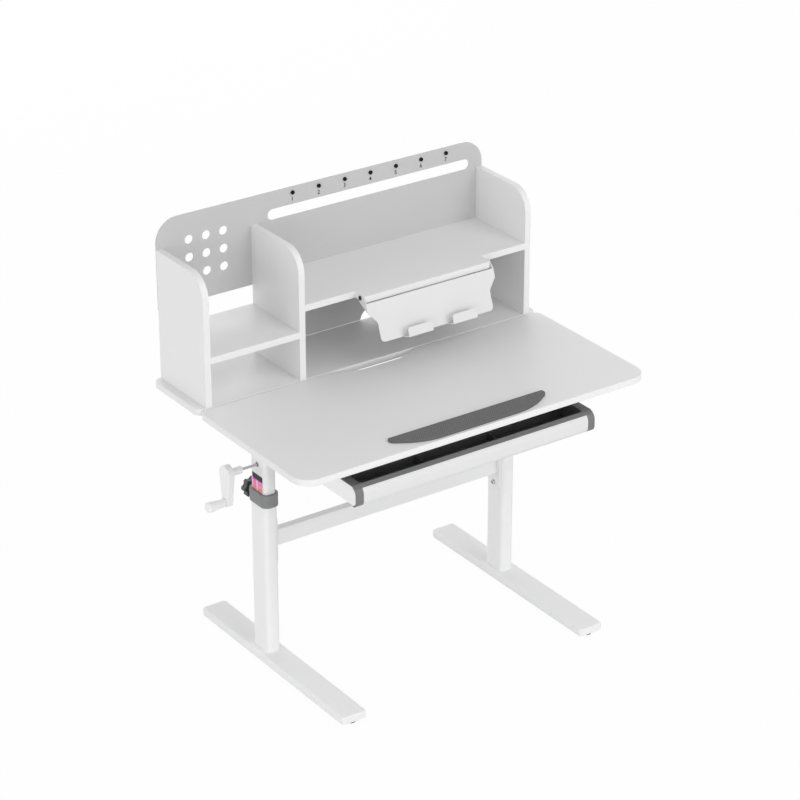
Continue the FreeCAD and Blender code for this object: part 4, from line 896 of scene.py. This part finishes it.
bpy.ops.object.select_all(action="DESELECT")
bpy.ops.mesh.primitive_cylinder_add(vertices=DOT_SIDES, radius=DOT_RADIUS, depth=DOT_RISE)
dots = bpy.context.object
dots.name = "stopper_dots"
bpy.ops.object.mode_set(mode="EDIT")
pick_faces(dots, lambda face: face.normal.z < -FACING)
bpy.ops.mesh.delete(type="FACE")
pick_faces(dots, lambda face: face.normal.z > FACING)
bpy.ops.transform.resize(value=(DOT_TOP, DOT_TOP, 1))
bpy.ops.mesh.inset(thickness=DOT_INSET * DOT_RADIUS)
bpy.ops.transform.translate(value=(0, 0, DOT_CROWN * DOT_RISE))
bpy.ops.object.mode_set(mode="OBJECT")
verts_per_dot = len(dots.data.vertices)
print(f"one dot has {len(dots.data.polygons)} faces")

# %% Lay out the dots
DOT_PITCH = 4.5 * MM
HONEYCOMB_ROW = math.sqrt(0.75)
ROW_STEP = DOT_PITCH * HONEYCOMB_ROW

stopper_low, stopper_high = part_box("edge_stopper")
rows = int((stopper_high.y - stopper_low.y) / ROW_STEP)
columns = int((stopper_high.x - stopper_low.x) / DOT_PITCH + rows / 2) + 1
first_x = stopper_low.x - rows * DOT_PITCH / 2
first_y = stopper_low.y + ROW_STEP / 2
dots.location = (first_x, first_y, stopper_high.z + DOT_RISE / 2)
bpy.ops.object.transform_apply(location=True, rotation=True, scale=True)
along_step = (DOT_PITCH, 0, 0)
across_step = (DOT_PITCH / 2, ROW_STEP, 0)
for name, count, step in (("along", columns, along_step), ("across", rows, across_step)):
    array = dots.modifiers.new(name, "ARRAY")
    array.count = count
    array.use_relative_offset = False
    array.use_constant_offset = True
    array.constant_offset_displace = step
    bpy.ops.object.modifier_apply(modifier=name)
print(f"{rows} rows of {columns} dots")

# %% Keep the dots that lie on the flat top
EDGE_MARGIN = 1.9 * MM
RAY_RISE = 10 * MM
FLAT_LIMIT = 0.02 * MM
STRAIGHT_DOWN = Vector((0, 0, -1))

stopper = solids["edge_stopper"]


def on_flat_top(centre):
    """True if the stopper's flat top lies under a point and all round it."""
    for step in range(DOT_SIDES):
        angle = 2 * math.pi * step / DOT_SIDES
        start = centre + Vector((EDGE_MARGIN * math.cos(angle), EDGE_MARGIN * math.sin(angle), RAY_RISE))
        hit, point, _, _ = stopper.ray_cast(start, STRAIGHT_DOWN)
        if not hit or point.z < stopper_high.z - FLAT_LIMIT:
            return False
    return True


bpy.ops.object.mode_set(mode="EDIT")
bpy.ops.mesh.select_mode(type="VERT")
bpy.ops.mesh.select_all(action="DESELECT")
mesh = bmesh.from_edit_mesh(dots.data)
mesh.verts.ensure_lookup_table()
for first in range(0, len(mesh.verts), verts_per_dot):
    ring = [mesh.verts[index] for index in range(first, first + verts_per_dot)]
    centre = sum((vert.co for vert in ring), Vector()) / verts_per_dot
    if not on_flat_top(centre):
        for vert in ring:
            vert.select_set(True)
bmesh.update_edit_mesh(dots.data)
bpy.ops.mesh.delete(type="VERT")
bpy.ops.object.mode_set(mode="OBJECT")
# The dots take the lighter grey, a painted highlight on their raised tops
finish_piece(dots, "top", finishes["dot_rubber_painted_highlight"])

# %% [markdown]
# ## Weld beads
#
# The outer legs are welded to the feet, and under powder coat a weld shows as a soft raised line round the
# tube. It could be swept along a path drawn by hand. Taking the path from the leg's own outline is surer: a
# plane with its corners bevelled gives it, and turned into a curve with a round bevel it becomes the bead.

# %% Run a bead round each leg
BEAD_RADIUS = 2.0 * MM
BEAD_LIFT = 0.3 * BEAD_RADIUS
BEAD_STEPS = 3
LEG_CORNER = 12 * MM
CORNER_STEPS = 8

for side in ("left", "right"):
    leg_low, leg_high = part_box(f"{side}_outer_leg")
    leg_middle = middle((leg_low, leg_high))
    bpy.ops.object.select_all(action="DESELECT")
    bpy.ops.mesh.primitive_plane_add(size=1, location=(leg_middle.x, leg_middle.y, leg_low.z + BEAD_LIFT))
    outline = bpy.context.object
    outline.scale = (leg_high.x - leg_low.x, leg_high.y - leg_low.y, 1)
    bpy.ops.object.transform_apply(location=True, rotation=True, scale=True)
    bpy.ops.object.mode_set(mode="EDIT")
    bpy.ops.mesh.select_all(action="SELECT")
    bpy.ops.mesh.bevel(offset=LEG_CORNER, segments=CORNER_STEPS, affect="VERTICES")
    bpy.ops.mesh.select_all(action="SELECT")
    bpy.ops.mesh.delete(type="ONLY_FACE")
    bpy.ops.object.mode_set(mode="OBJECT")
    bpy.ops.object.convert(target="CURVE")
    path = bpy.context.object
    path.data.bevel_depth = BEAD_RADIUS
    path.data.bevel_resolution = BEAD_STEPS
    bpy.ops.object.convert(target="MESH")
    bead = bpy.context.object
    bead.name = f"{side}_leg_weld"
    finish_piece(bead, "base", finishes["white_powder_coat"])
